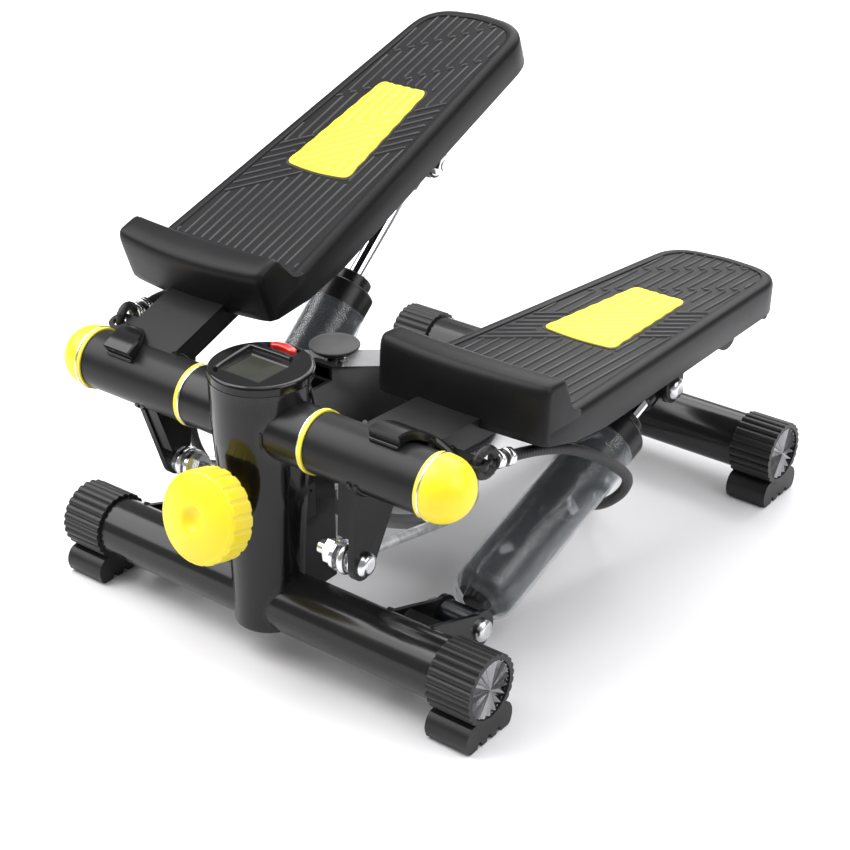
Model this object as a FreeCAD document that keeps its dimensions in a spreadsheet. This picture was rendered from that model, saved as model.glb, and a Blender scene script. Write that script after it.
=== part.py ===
import FreeCAD, Part
import math
import os
import sys

import Sketcher

V = FreeCAD.Vector
os.makedirs("parts", exist_ok=True)
doc = FreeCAD.newDocument("stepper")

# ---------------------------------------------------------------- driving dimensions (mm, degrees)
sheet = doc.addObject("Spreadsheet::Sheet", "Params")
DIMS = [
    ("shift_back", -151.4),   # moves the front stabiliser behind or ahead of the origin
    ("tube_rad", 19.0), ("tube_wall", 1.8), ("tube_half", 150.0), ("tube_height", 34.0), ("base_depth", 342.0),
    ("cap_rad", 21.0), ("cap_flute", 1.3), ("cap_long", 30.0), ("cap_seat", 13.0), ("disc_rad", 18.0),
    ("axle_back", -4.6), ("axle_height", 154.5), ("axle_rad", 10.0), ("axle_half", 131.0),
    ("column_half", 18.0), ("column_front", -8.0), ("column_rear", 40.0), ("column_top", 166.0), ("column_wall", 2.5),
    ("shell_low", 20.0), ("shell_top", 181.0), ("shell_wall", 2.0), ("shell_rad_low", 22.6), ("shell_rad_top", 31.0),
    ("beam_half", 18.0), ("beam_deep", 40.0), ("beam_wall", 2.0), ("beam_slope", 20.6), ("beam_start", 174.9),
    ("sleeve_rad", 18.4), ("sleeve_end", 45.2), ("flange_rad", 19.2), ("flange_thick", 2.8),
    ("swing_rad", 18.2), ("swing_inner", 16.5), ("swing_start", 48.3), ("swing_end", 126.2),
    ("right_pitch", -3.2), ("left_pitch", 19.2),
    ("pedal_mid", 95.6), ("pedal_half_front", 59.0), ("pedal_half_rear", 44.0), ("pedal_front", 56.5), ("pedal_rear", 372.0), ("deck_height", 19.8),
    ("skirt_deep", 23.6), ("deck_thick", 4.2), ("toe_rise", 23.8), ("toe_thick", 25.0),
    ("arm_inner", 70.0), ("arm_outer", 114.0), ("arm_low", 0.6), ("arm_high", 15.3), ("arm_length", 300.0), ("arm_wall", 2.5),
    ("damper_mid", 98.5), ("damper_rad", 19.0), ("damper_low", 22.0), ("damper_top", 178.0), ("bore_rad", 15.0),
    ("lower_back", 58.2), ("lower_height", 23.2), ("upper_reach", 281.4), ("upper_drop", -42.6),
    ("rod_rad", 5.8), ("pin_rad", 4.0), ("eye_rad", 10.0),
    ("lever_reach", 61.5), ("lever_lean", -5.8), ("lever_in", 81.0), ("lever_out", 85.0),
    ("knob_front", -62.0), ("knob_height", 114.0), ("knob_tilt", 14.0), ("knob_rad", 27.6), ("knob_deep", 20.0), ("screw_rad", 4.95),
    ("pulley_back", 133.0), ("pulley_height", 48.0), ("pulley_rad", 46.0), ("rope_rad", 3.2), ("rope_ring", 42.6),
    ("monitor_rad", 30.6), ("monitor_low", 173.2), ("monitor_top", 187.0),
    ("cord_rad", 3.5), ("coil_mean", 38.5), ("coil_high", 13.5),
]
for i, (alias, value) in enumerate(DIMS, start=1):
    sheet.set("A%d" % i, alias)
    sheet.set("B%d" % i, repr(value))
    sheet.setAlias("B%d" % i, alias)
doc.recompute()
D = {alias: float(getattr(sheet, alias)) for alias, _ in DIMS}
SH = D["shift_back"]
AY, AZ = D["axle_back"] + SH, D["axle_height"]
PARTS = {}


def E(obj, prop, expression):
    obj.setExpression(prop, expression)


def P(alias):
    return "Params." + alias


def rotx(deg):
    return FreeCAD.Rotation(V(1, 0, 0), deg)


def at(x, y, z, rot=None):
    return FreeCAD.Placement(V(x, y, z), rot or FreeCAD.Rotation())


ALONG_X = FreeCAD.Rotation(V(0, 1, 0), 90)   # turns a +Z cylinder to run along +X
count = [0]


def uniq(base):
    count[0] += 1
    return "%s_%d" % (base, count[0])


def cyl(r, length, place, re=None, le=None):
    o = doc.addObject("Part::Cylinder", uniq("cyl"))
    o.Radius, o.Height, o.Placement = r, length, place
    if re:
        E(o, "Radius", re)
    if le:
        E(o, "Height", le)
    return o


def xcyl(r, x0, x1, y, z, re=None, le=None):
    return cyl(r, abs(x1 - x0), at(min(x0, x1), y, z, ALONG_X), re, le)


def box(x0, x1, y0, y1, z0, z1, place=None):
    o = doc.addObject("Part::Box", uniq("box"))
    o.Length, o.Width, o.Height = x1 - x0, y1 - y0, z1 - z0
    o.Placement = (place or FreeCAD.Placement()).multiply(at(x0, y0, z0))
    return o


def cut(a, *tools):
    tool = tools[0] if len(tools) == 1 else fuse(*tools)
    o = doc.addObject("Part::Cut", uniq("cut"))
    o.Base, o.Tool = a, tool
    return o


def fuse(*shapes):
    o = doc.addObject("Part::MultiFuse", uniq("fuse"))
    o.Shapes = list(shapes)
    return o


def common(a, b):
    o = doc.addObject("Part::MultiCommon", uniq("common"))
    o.Shapes = [a, b]
    return o


def group(*shapes):
    o = doc.addObject("Part::Compound", uniq("group"))
    o.Links = list(shapes)
    return o


def feature(shape, name="form"):
    o = doc.addObject("Part::Feature", uniq(name))
    o.Shape = shape
    return o


def node(name, obj, place=None):
    obj.Label = name
    if place is not None:
        obj.Placement = place
    PARTS[name] = obj
    return obj


def plane(body, role):
    return next(f for f in body.Origin.OriginFeatures if f.Role == role)


def outline(sk, pts):
    """Closed outline of straight and arc edges; an item (x, y) is a corner, ("arc", mid, end) an arc."""
    start = pts[0]
    cur = start
    n = 0
    for item in pts[1:] + [start]:
        if item[0] == "arc":
            _, mid, end = item
            a = Part.Arc(V(cur[0], cur[1], 0), V(mid[0], mid[1], 0), V(end[0], end[1], 0))
            sk.addGeometry(a, False)
            cur = end
        else:
            if abs(item[0] - cur[0]) + abs(item[1] - cur[1]) > 1e-7:
                sk.addGeometry(Part.LineSegment(V(cur[0], cur[1], 0), V(item[0], item[1], 0)), False)
            cur = item
        n += 1


def new_body(name):
    return doc.addObject("PartDesign::Body", uniq(name))


def sketch(body, role, outlines=(), circles=(), offset=0.0):
    sk = body.newObject("Sketcher::SketchObject", uniq("sketch"))
    sk.AttachmentSupport = [(plane(body, role), "")]
    sk.MapMode = "FlatFace"
    if offset:
        sk.AttachmentOffset = at(0, 0, offset)
    for pts in outlines:
        outline(sk, pts)
    for cx, cy, r, expr in circles:
        g = sk.addGeometry(Part.Circle(V(cx, cy, 0), V(0, 0, 1), r), False)
        c = sk.addConstraint(Sketcher.Constraint("Radius", g, r))
        if expr:
            sk.setExpression("Constraints[%d]" % c, expr)
    return sk


def pad(body, sk, length, expr=None, mid=False, rev=False):
    p = body.newObject("PartDesign::Pad", uniq("pad"))
    p.Profile = sk
    p.Length = length
    p.Midplane = mid
    p.Reversed = rev
    if expr:
        E(p, "Length", expr)
    body.Tip = p
    return p


def revolve(body, sk, axis="V_Axis"):
    r = body.newObject("PartDesign::Revolution", uniq("turned"))
    r.Profile = sk
    r.ReferenceAxis = (sk, [axis])
    r.Angle = 360
    body.Tip = r
    return r


def turned(pts, name="turned_body"):
    """Solid of revolution about local Z from (radius, height) points in the XZ plane."""
    b = new_body(name)
    revolve(b, sketch(b, "XZ_Plane", [pts]))
    return b


def hexagon(af, x0, x1, y, z, turn=0.0):
    o = doc.addObject("Part::Prism", uniq("hexagon"))
    o.Polygon = 6
    o.Circumradius = af / math.sqrt(3)
    o.Height = abs(x1 - x0)
    o.Placement = at(min(x0, x1), y, z, ALONG_X.multiply(FreeCAD.Rotation(V(0, 0, 1), turn)))
    return o


def pan_head(r, x_face, out, y, z, thick=4.6):
    """Domed pan head standing out from x_face in the direction out (+1 or -1) along X."""
    b = turned([(0, 0), (r, 0), (r, 1.2), ("arc", (0.80 * r, thick * 0.80), (0.42 * r, thick)), (0, thick)], "pan_head")
    b.Placement = at(x_face, y, z, FreeCAD.Rotation(V(0, 1, 0), 90 * out))
    return b


# ---------------------------------------------------------------- base: stabiliser tubes, caps, discs
for name, y in (("front_stabilizer", 0.0), ("rear_stabilizer", D["base_depth"])):
    h = D["tube_half"]
    outer = xcyl(D["tube_rad"], -h, h, y + SH, D["tube_height"], P("tube_rad"), "2 * " + P("tube_half"))
    inner = xcyl(D["tube_rad"] - D["tube_wall"], -h - 1, h + 1, y + SH, D["tube_height"], P("tube_rad") + " - " + P("tube_wall"))
    node(name, cut(outer, inner))


def cap_outline(rad, depth, n=25):
    """Scalloped ring: n shallow convex flutes round the cap."""
    pts = []
    half = math.pi / n
    for k in range(n):
        a = 2 * half * k
        lo = (rad * math.cos(a - half), rad * math.sin(a - half))
        hi = ((rad + depth) * math.cos(a), (rad + depth) * math.sin(a))
        nx = (rad * math.cos(a + half), rad * math.sin(a + half))
        if k == 0:
            pts.append(lo)
        pts.append(("arc", hi, nx))
    return pts


def end_cap(side, y, out):
    """Fluted plastic end cap with a two-lobed foot; local Z runs outwards along the tube, to row x = side * out."""
    length = D["cap_long"]
    cin = out - length
    b = new_body("cap")
    pad(b, sketch(b, "XY_Plane", [cap_outline(D["cap_rad"] - 0.5, D["cap_flute"])]), length, P("cap_long"))
    # foot profile: local x is down-up (row Z), local y is across (row Y)
    h = D["tube_height"]
    # outline in (across, height above floor), turned into cap coordinates below
    f = [(-12.0, 17.5), (-17.0, 16.5), ("arc", (-21.5, 10.5), (-20.8, 3.2)), ("arc", (-19.6, 0.9), (-17.6, 0.0)), (-11.2, 0.0),
         (-10.4, 2.6), ("arc", (-9.0, 3.6), (-7.6, 2.6)), (-6.8, 0.0), (-2.4, 0.0), (-1.4, 2.6), ("arc", (0.0, 3.6), (1.4, 2.6)), (2.4, 0.0),
         (6.8, 0.0), (7.6, 2.6), ("arc", (9.0, 3.6), (10.4, 2.6)), (11.2, 0.0), (17.6, 0.0), ("arc", (19.6, 0.9), (20.8, 3.2)),
         ("arc", (21.5, 10.5), (17.0, 16.5)), (12.0, 17.5)]

    def tr(p):
        return (p[1] - h, p[0])

    fo = [("arc", tr(p[1]), tr(p[2])) if p[0] == "arc" else tr(p) for p in f]
    pad(b, sketch(b, "XY_Plane", [fo]), length - 0.6)
    # local x is up, local z points outwards, and local y is across with the sign that keeps the frame right-handed
    m = FreeCAD.Matrix(0, 0, side, side * cin, 0, side, 0, y + SH, 1, 0, 0, h, 0, 0, 0, 1)
    if m.determinant() < 0:
        m = FreeCAD.Matrix(0, 0, side, side * cin, 0, -side, 0, y + SH, 1, 0, 0, h, 0, 0, 0, 1)
    b.Placement = FreeCAD.Placement(m)
    hole = xcyl(D["tube_rad"] + 0.02, side * (cin - 1), side * (D["tube_half"] + 0.3), y + SH, h, P("tube_rad") + " + 0.02")
    recess = xcyl(D["disc_rad"] + 0.1, side * (out - 2.6), side * (out + 1), y + SH, h, P("disc_rad") + " + 0.1")
    return cut(b, hole, recess)


# each cap is knocked on to its own depth, as found on the object: side, y, outer face
SEATS = [(1, 0.0, 163.0), (-1, 0.0, 157.0), (1, D["base_depth"], 161.0), (-1, D["base_depth"], 163.0)]
node("end_caps", group(*[end_cap(side, y, out) for side, y, out in SEATS]))
discs = []
for side, y, out in SEATS:
    b = turned([(0, 0), (D["disc_rad"], 0), (D["disc_rad"], 1.4), (0, 2.4)], "disc")
    b.Placement = at(side * (out - 2.5), y + SH, D["tube_height"], FreeCAD.Rotation(V(0, 1, 0), 90 * side))
    discs.append(b)
node("end_cap_discs", group(*discs))

# ---------------------------------------------------------------- post: column, front shell, beam
ch, cf, cr, ct, cw = D["column_half"], D["column_front"] + SH, D["column_rear"] + SH, D["column_top"], D["column_wall"]
TH = D["tube_height"]
tilt = math.radians(D["knob_tilt"])
KNOB = at(0, D["knob_front"] + SH, D["knob_height"], rotx(90 - D["knob_tilt"]))   # local +Z points out of the knob's face


def screw_line(r, d0, d1):
    """Cylinder on the adjuster's axis from depth d0 to depth d1 behind the knob's face."""
    return cyl(r, d1 - d0, KNOB.multiply(at(0, 0, -d1)))


column = cut(
    box(-ch, ch, cf, cr, TH, ct),
    box(-ch + cw, ch - cw, cf + cw, cr - cw, TH - 1, ct + 1),
    xcyl(D["tube_rad"], -40, 40, SH, TH, P("tube_rad")),
    xcyl(D["axle_rad"], -40, 40, AY, AZ, P("axle_rad")),
    screw_line(7.5, 20, 130),
)
node("post_column", column)


sl, st, rl, rt, sw = D["shell_low"], D["shell_top"], D["shell_rad_low"], D["shell_rad_top"], D["shell_wall"]
# the shell swells gently below its bell-shaped mouth: stations up its height, radius over the low radius
FLARE = [(0.0, 0.0), (22.0, 0.3), (40.0, 0.9), (56.0, 1.9), (71.0, 3.1), (85.0, 4.4)]
SWELL = [(rl + r, sl + z) for z, r in FLARE] + [(rt - 1.2, sl + 125), (rt, st)]
shell_body = turned(SWELL + [(rt - sw, st), (rt - 1.2 - sw, sl + 125)] + [(r - sw, z) for r, z in SWELL[5::-1]], "shell_outer")
shell_body.Placement = at(0, SH, 0)
shell = cut(
    shell_body,
    box(-40, 40, 6 + SH, 60 + SH, 0, 200),
    xcyl(D["tube_rad"] + 0.02, -60, 60, SH, TH, P("tube_rad") + " + 0.02"),
    xcyl(D["sleeve_rad"] + 0.05, -60, 60, AY, AZ, P("sleeve_rad") + " + 0.05"),
    screw_line(7.5, 10, 60),
)
node("post_shell", shell)

slope = D["beam_slope"]
bs = D["beam_start"]
bplace = at(0, cr, bs, rotx(-slope))
bh, bd, bw = D["beam_half"], D["beam_deep"], D["beam_wall"]
yr, zr = D["base_depth"] + SH, TH
beam = cut(
    box(-bh, bh, -30, 345, -bd, 0, bplace),
    box(-bh + bw, bh - bw, -40, 360, -bd + bw, -bw, bplace),
    box(-60, 60, cr - 120, cr, 0, 260),
    box(-60, 60, yr + 2, yr + 120, -20, 200),
    xcyl(D["tube_rad"], -60, 60, yr, zr, P("tube_rad")),
)

# guide plates under the beam that the pulley carriage slides between
gy0, gy1 = 96 + SH, 162 + SH


def under_beam(y):
    return bs - (y - cr) * math.tan(math.radians(slope)) - bd / math.cos(math.radians(slope))


def yz_plate(pts, x0, x1):
    """Flat plate from a (y, z) outline, between x0 and x1."""
    b = new_body("plate")
    # sketch on the YZ plane: sketch x is row Y, sketch y is row Z, and the pad runs along +X
    sk = sketch(b, "YZ_Plane", [pts])
    pad(b, sk, x1 - x0)
    b.Placement = at(x0, 0, 0)
    return b


guides = []
for side in (-1, 1):
    pts = [(gy0, 63), (gy1, 63), (gy1, under_beam(gy1) + 1.0), (gy0, under_beam(gy0) + 1.0)]
    guides.append(yz_plate(pts, 13.2 if side > 0 else -16.2, 16.2 if side > 0 else -13.2))
node("main_beam", fuse(beam, *guides))

# ---------------------------------------------------------------- pivot axle, fixed sleeves, axle nuts
a0, ah, ar = 0, D["axle_half"], D["axle_rad"]
axle = fuse(
    xcyl(ar, -ah, ah, AY, AZ, P("axle_rad"), "2 * " + P("axle_half")),
    xcyl(7.9, -ah - 9.5, ah + 9.5, AY, AZ),
)
node("pivot_axle", axle)
node("fixed_sleeves", group(*[
    cut(xcyl(D["sleeve_rad"], s * ch, s * D["sleeve_end"], AY, AZ, P("sleeve_rad")), xcyl(ar + 0.02, s * 10, s * 60, AY, AZ, P("axle_rad") + " + 0.02"))
    for s in (-1, 1)]))
nuts = []
for s in (-1, 1):
    nuts.append(cut(fuse(hexagon(22, s * 132.4, s * 138.6, AY, AZ, 8), xcyl(12.6, s * 131, s * 132.4, AY, AZ)), xcyl(7.92, s * 129, s * 145, AY, AZ)))
node("axle_nuts", group(*nuts))

# ---------------------------------------------------------------- lower damper brackets and bolts
LY, LZ, DM = D["lower_back"] + SH, D["lower_height"], D["damper_mid"]
brackets, lbolts = [], []
for s in (-1, 1):
    plates = []
    for dx0, dx1 in ((-15.4, -12.4), (12.4, 15.4)):
        pts = [(SH + 8.0, TH + 17.0), (LY - 3.0, LZ + 11.6), ("arc", (LY + 12.0, LZ), (LY - 3.0, LZ - 11.6)), (SH + 12.0, TH - 15.0), (SH + 4.0, TH)]
        x0, x1 = sorted((s * (DM + dx0), s * (DM + dx1)))
        plates.append(yz_plate(pts, x0, x1))
    # cross web that joins the two plates against the tube
    web = box(s * DM - 13, s * DM + 13, SH + 16.5, SH + 24.5, TH - 13, TH + 11)
    pl = cut(fuse(plates[0], plates[1], web), xcyl(D["tube_rad"], s * DM - 40, s * DM + 40, SH, TH, P("tube_rad")),
             xcyl(D["pin_rad"] + 0.05, s * DM - 40, s * DM + 40, LY, LZ, P("pin_rad") + " + 0.05"))
    brackets.append(pl)
    shaft = xcyl(D["pin_rad"], s * DM - 24.5, s * DM + 15.6, LY, LZ, P("pin_rad")) if s > 0 else xcyl(D["pin_rad"], s * DM - 15.6, s * DM + 24.5, LY, LZ, P("pin_rad"))
    lbolts.append(fuse(shaft, pan_head(7.4, s * (DM + 15.45), s, LY, LZ)))
    lbolts.append(cut(fuse(hexagon(13, s * (DM - 23.4), s * (DM - 16.9), LY, LZ, 12), xcyl(8.4, s * (DM - 16.9), s * (DM - 15.45), LY, LZ)), xcyl(D["pin_rad"] + 0.01, s * DM - 40, s * DM + 40, LY, LZ)))
node("damper_brackets", group(*brackets))
node("lower_damper_bolts", group(*lbolts))

# ---------------------------------------------------------------- monitor on top of the post
MR, ML, MT = D["monitor_rad"], D["monitor_low"], D["monitor_top"]
mon = turned([(0, MT), (MR - 2.0, MT), ("arc", (MR - 0.6, MT - 0.6), (MR, MT - 2.0)), (MR, st + 0.05), (MR - 2.4, st + 0.05), (MR - 2.4, ML), (0, ML)], "monitor")
mon.Placement = at(0, SH, 0)
# battery and circuit space inside, window for the display, hole for the button stem
housing = cut(mon, box(-20, 20, -20 + SH, 17 + SH, ML + 1.6, MT - 4.2), box(-13.6, 15.2, -18.8 + SH, 7.0 + SH, MT - 5, MT + 1),
              box(-13.0, 7.0, 19.4 + SH, 26.4 + SH, MT - 3.6, MT + 1), cyl(1.7, 20, at(-3, 15.5 + SH, ML + 1.7)), )
node("monitor_housing", housing)
node("lcd_panel", box(-13.4, 15.0, -18.6 + SH, 6.8 + SH, MT - 3.2, MT - 0.8))
btn = new_body("button")
sk = sketch(btn, "XY_Plane", [[(-12.0, 21.4), ("arc", (-12.6, 23.3), (-10.8, 25.0)), ("arc", (-3.0, 26.0), (4.8, 25.0)), ("arc", (6.6, 23.3), (6.0, 21.4)),
                               ("arc", (4.0, 19.9), (1.5, 20.5)), ("arc", (-3.0, 21.3), (-7.5, 20.5)), ("arc", (-10.0, 19.9), (-12.0, 21.4))]], offset=0)
pad(btn, sk, 4.2)
btn.Placement = at(0, SH, MT - 2.0)
node("reset_button", btn)

# step sensor on the column's side, its lead up to the monitor, and the magnet on the right swing tube
node("step_sensor", cut(box(ch, ch + 6.0, 7.6 + SH, 15.6 + SH, 90, 112), xcyl(1.0, ch + 3, ch + 9, 11.6 + SH, 107.5)))
wire_pts = [V(ch + 3.2, 11.6 + SH, 112.02), V(ch + 3.2, 12.4 + SH, 120), V(ch + 3.2, 19.4 + SH, 131), V(ch + 3.2, 21.6 + SH, 145), V(ch + 2.4, 21.4 + SH, 159), V(ch - 1.0, 20.6 + SH, 173.1)]


def rounded_path(pts, share=0.45):
    """Straight runs joined by tangent arcs; returns the wire and the radii."""
    edges, radii = [], []
    start = pts[0]
    for k in range(1, len(pts) - 1):
        a, b, c = pts[k - 1], pts[k], pts[k + 1]
        u, w = (a - b), (c - b)
        la, lb = u.Length, w.Length
        u.normalize()
        w.normalize()
        turn = math.pi - u.getAngle(w)
        cutback = share * min(la, lb)
        r = cutback / math.tan(turn / 2)
        radii.append(r)
        p0, p1 = b + u * cutback, b + w * cutback
        bis = u + w
        bis.normalize()
        centre = b + bis * (r / math.cos(turn / 2))
        mid = centre - bis * r
        edges.append(Part.LineSegment(start, p0).toShape())
        edges.append(Part.Arc(p0, mid, p1).toShape())
        start = p1
    edges.append(Part.LineSegment(start, pts[-1]).toShape())
    return Part.Wire(edges), radii


def tube_along(pts, r, name, share=0.45):
    wire, radii = rounded_path(pts, share)
    d = wire.Edges[0].tangentAt(wire.Edges[0].FirstParameter)
    ring = Part.Wire([Part.Circle(pts[0], d, r).toShape()])
    solid = wire.makePipeShell([ring], True, False)
    want = math.pi * r * r * wire.Length
    print("%-18s length %.1f  radii %s  volume/section*length %.4f" % (name, wire.Length, " ".join("%.0f" % x for x in radii), solid.Volume / want))
    if abs(solid.Volume / want - 1) > 0.02 or not solid.isValid():
        raise RuntimeError("bad tube " + name)
    return feature(solid, name)


node("sensor_wire", tube_along(wire_pts, 1.0, "sensor_wire"))

# rubber bumper saucer on its stud on top of the beam
by, bz = 64.0 + SH, bs - (64.0 + SH - cr) * math.tan(math.radians(slope))
stud = fuse(cyl(3.9, 13, at(0, by, bz - 4.0)), cyl(6.4, 3.4, at(0, by, bz + 0.9)))
node("bumper_stud", cut(stud, box(-40, 40, by - 20, by + 20, -30, 0, at(0, 0, 0)), box(-30, 30, -30, 200, -60, -0.0, bplace)))
bump = turned([(3.95, 0), (7.5, 0), ("arc", (11.5, 0.9), (14.6, 3.6)), ("arc", (15.3, 4.5), (14.6, 5.4)), ("arc", (10.0, 6.6), (4.0, 7.2)), (0, 7.2), (0, 4.9), (3.95, 4.9)], "bumper")
bump.Placement = at(0, by, bz + 4.4)
node("rubber_bumper", bump)

# ---------------------------------------------------------------- knob, screw, carriage, pulley
kr, kd = D["knob_rad"], D["knob_deep"]
kb = turned([(0, -3.2), ("arc", (3.6, -2.7), (6.6, -0.9)), ("arc", (8.0, -0.2), (9.6, 0.0)), ("arc", (17.5, -1.2), (kr - 3.2, -3.4)), ("arc", (kr - 0.6, -4.6), (kr, -7.0)),
             (kr, -kd), (kr - 3.0, -kd), (kr - 3.0, -9.0), (12.0, -9.0), (12.0, -30.5), (5.2, -30.5), (5.2, -14.0), (0, -14.0)], "knob")
flutes = []
for k in range(20):
    a = 2 * math.pi * k / 20
    flutes.append(cyl(1.9, 40, KNOB.multiply(at((kr + 1.05) * math.cos(a), (kr + 1.05) * math.sin(a), -kd - 10))))
kb.Placement = KNOB
node("adjuster_knob", cut(kb, *flutes))
node("adjuster_screw", cyl(D["screw_rad"], 176.0, KNOB.multiply(at(0, 0, -190.05)), P("screw_rad")))

PY, PZ, PR = D["pulley_back"] + SH, D["pulley_height"], D["pulley_rad"]
car = cut(fuse(box(-12.8, 12.8, PY - 41, PY + 12, PZ + 14.5, PZ + 35), cyl(5.0, 24.6, at(0, PY, PZ - 9.0)), cyl(8.6, 2.6, at(0, PY, PZ - 9.6))),
          screw_line(D["screw_rad"] + 0.05, 120, 240))
node("pulley_carriage", car)
g = D["rope_rad"] + 0.5
groove = PR - D["rope_ring"]
pul = turned([(5.06, -6.4), (14, -6.4), (14, -4.6), (PR - 9, -4.6), (PR - 2.0, -6.2), (PR, -5.4), (D["rope_ring"], -g), ("arc", (D["rope_ring"] - g, 0), (D["rope_ring"], g)),
              (PR, 5.4), (PR - 2.0, 6.2), (PR - 9, 4.6), (14, 4.6), (14, 6.4), (5.06, 6.4)], "pulley")
pul.Placement = at(0, PY, PZ)
holes = [cyl(6.0, 30, at(22.5 * math.cos(math.radians(a)), PY + 22.5 * math.sin(math.radians(a)), PZ - 15)) for a in range(0, 360, 60)]
node("cable_pulley", cut(pul, *holes))

# ---------------------------------------------------------------- arms: everything that swings with one pedal
LEVER = {}
EYE_X = 134.0
for side, tag, pitch in ((1, "right", D["right_pitch"]), (-1, "left", D["left_pitch"])):
    SWING = at(0, AY, AZ, rotx(pitch))

    def sx(x0, x1):
        return (x0, x1) if side > 0 else (-x1, -x0)

    def pcyl(r, x0, x1, y=0.0, z=0.0, re=None):
        a, b = sx(x0, x1)
        return xcyl(r, a, b, y, z, re)

    def pbox(x0, x1, y0, y1, z0, z1):
        a, b = sx(x0, x1)
        return box(a, b, y0, y1, z0, z1)

    tube_outer = pcyl(D["swing_rad"], D["swing_start"], D["swing_end"], re=P("swing_rad"))
    tube_inner = pcyl(D["swing_inner"], D["swing_start"] - 1, D["swing_end"] + 1, re=P("swing_inner"))
    ft, fr, br = D["flange_thick"], D["flange_rad"], D["swing_inner"] - 0.03
    b1 = cut(fuse(pcyl(fr, D["swing_start"] - ft, D["swing_start"], re=P("flange_rad")), pcyl(br, D["swing_start"], D["swing_start"] + 18)),
             pcyl(ar + 0.06, 40, 80, re=P("axle_rad") + " + 0.06"))
    b2 = cut(fuse(pcyl(fr, D["swing_end"], D["swing_end"] + ft, re=P("flange_rad")), pcyl(br, D["swing_end"] - 18, D["swing_end"])),
             pcyl(ar + 0.06, 100, 140, re=P("axle_rad") + " + 0.06"))
    node(tag + "_bushes", group(b1, b2), SWING)

    x_in = D["swing_end"] + ft
    dome = turned([(16.4, 0), (fr, 0), (fr, 2.0), ("arc", (14.3, 15.4), (1.0, 21.3)), (0, 21.3), (0, 18.9), (1.0, 18.9), ("arc", (12.2, 13.6), (16.4, 2.0))], "dome")
    dome.Placement = at(side * x_in, 0, 0, FreeCAD.Rotation(V(0, 1, 0), 90 * side))
    node(tag + "_dome_cap", group(dome), SWING)

    # channel-section arm under the pedal, saddle-welded to the swing tube, with the damper clevis below it
    ai, ao, al, ahi, an, aw = (D[k] for k in ("arm_inner", "arm_outer", "arm_low", "arm_high", "arm_length", "arm_wall"))
    channel = cut(pbox(ai, ao, 2, an, al, ahi), pbox(ai + aw, ao - aw, 26, an - 3, al - 1, ahi - aw))
    ur, ud, dm = D["upper_reach"], D["upper_drop"], D["damper_mid"]
    ears = []
    for dx0, dx1 in ((-13.0, -10.0), (10.0, 13.0)):
        pts = [(ur - 16, al + 0.5), (ur - 9.4, ud - 2.6), ("arc", (ur, ud - 10.4), (ur + 9.4, ud - 2.6)), (ur + 16, al + 0.5)]
        x0, x1 = sx(dm + dx0, dm + dx1)
        ears.append(yz_plate(pts, x0, x1))
    seat = pbox(dm - 13, dm + 13, ur - 17, ur + 17, al - 2.4, al + 0.6)
    # flat eye plate that the exercise cord is looped through
    plate = new_body("eye_plate")
    pad(plate, sketch(plate, "XY_Plane", [[(ao - 1.0, 20.0), (EYE_X, 20.0), ("arc", (EYE_X + 7.0, 27.0), (EYE_X, 34.0)), (ao - 1.0, 34.0)]], circles=[(EYE_X, 27.0, 4.3, None)], offset=3.0), 3.0)
    if side < 0:
        plate.Placement = at(0, 54.0, 9.0, FreeCAD.Rotation(V(0, 0, 1), 180).multiply(FreeCAD.Rotation(V(1, 0, 0), 0)))
        plate.Placement = at(0, 54.0, 0, FreeCAD.Rotation(V(0, 0, 1), 180))
    arm = cut(fuse(channel, seat, plate, *ears), *[cyl(2.42, 8.0, at(side * xx, yy, ahi - aw - 1)) for yy in (110.0, 150.0, 255.0) for xx in (84.0, 104.0)], pcyl(D["swing_rad"], 30, 130, re=P("swing_rad")), pcyl(D["pin_rad"] + 0.03, dm - 20, dm + 20, ur, ud, P("pin_rad") + " + 0.03"))
    node(tag + "_pedal_arm", arm, SWING)

    # lever plate that hangs under the swing tube and takes the cable
    lean = math.radians(D["lever_lean"])
    ly, lz = D["lever_reach"] * math.sin(lean), -D["lever_reach"] * math.cos(lean)
    LEVER[tag] = (ly, lz)
    pts = [(-15.6, -8.0), (ly - 10, lz), ("arc", (ly, lz - 10), (ly + 9.2, lz - 3.9)), (25.0, -22.0), (24.0, -4.0), (12.0, -8.0)]
    x0, x1 = sx(D["lever_in"], D["lever_out"])
    flange = pbox(D["lever_in"] - 9.0, D["lever_in"] + 0.5, -14.6, -12.2, -44.0, -8.0)
    lever = cut(fuse(tube_outer, yz_plate(pts, x0, x1), flange), tube_inner, pcyl(D["pin_rad"] + 0.03, 60, 100, ly, lz, P("pin_rad") + " + 0.03"))
    node(tag + "_swing_tube", lever, SWING)

    li, lo = D["lever_in"], D["lever_out"]
    head = pan_head(7.4, side * lo, side, ly, lz)
    b1 = fuse(pcyl(D["pin_rad"], li - 27.5, lo + 0.3, ly, lz, P("pin_rad")), head)
    n1 = cut(fuse(hexagon(13, side * (li - 21.5), side * (li - 15.0), ly, lz, 10), pcyl(9.4, li - 15.0, li - 12.4, ly, lz)), pcyl(D["pin_rad"] + 0.01, 40, 100, ly, lz))
    w1 = cut(pcyl(8.0, li - 2.2, li, ly, lz), pcyl(D["pin_rad"] + 0.01, 40, 100, ly, lz))
    b2 = fuse(pcyl(D["pin_rad"], dm - 21.0, dm + 13.3, ur, ud, P("pin_rad")), pan_head(7.4, side * (dm + 13.0), side, ur, ud))
    n2 = cut(fuse(hexagon(13, side * (dm - 20.4), side * (dm - 14.2), ur, ud, 14), pcyl(8.4, dm - 14.2, dm - 13.0, ur, ud)), pcyl(D["pin_rad"] + 0.01, dm - 40, dm + 40, ur, ud))
    node(tag + "_arm_bolts", group(b1, n1, w1, b2, n2), SWING)

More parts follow.
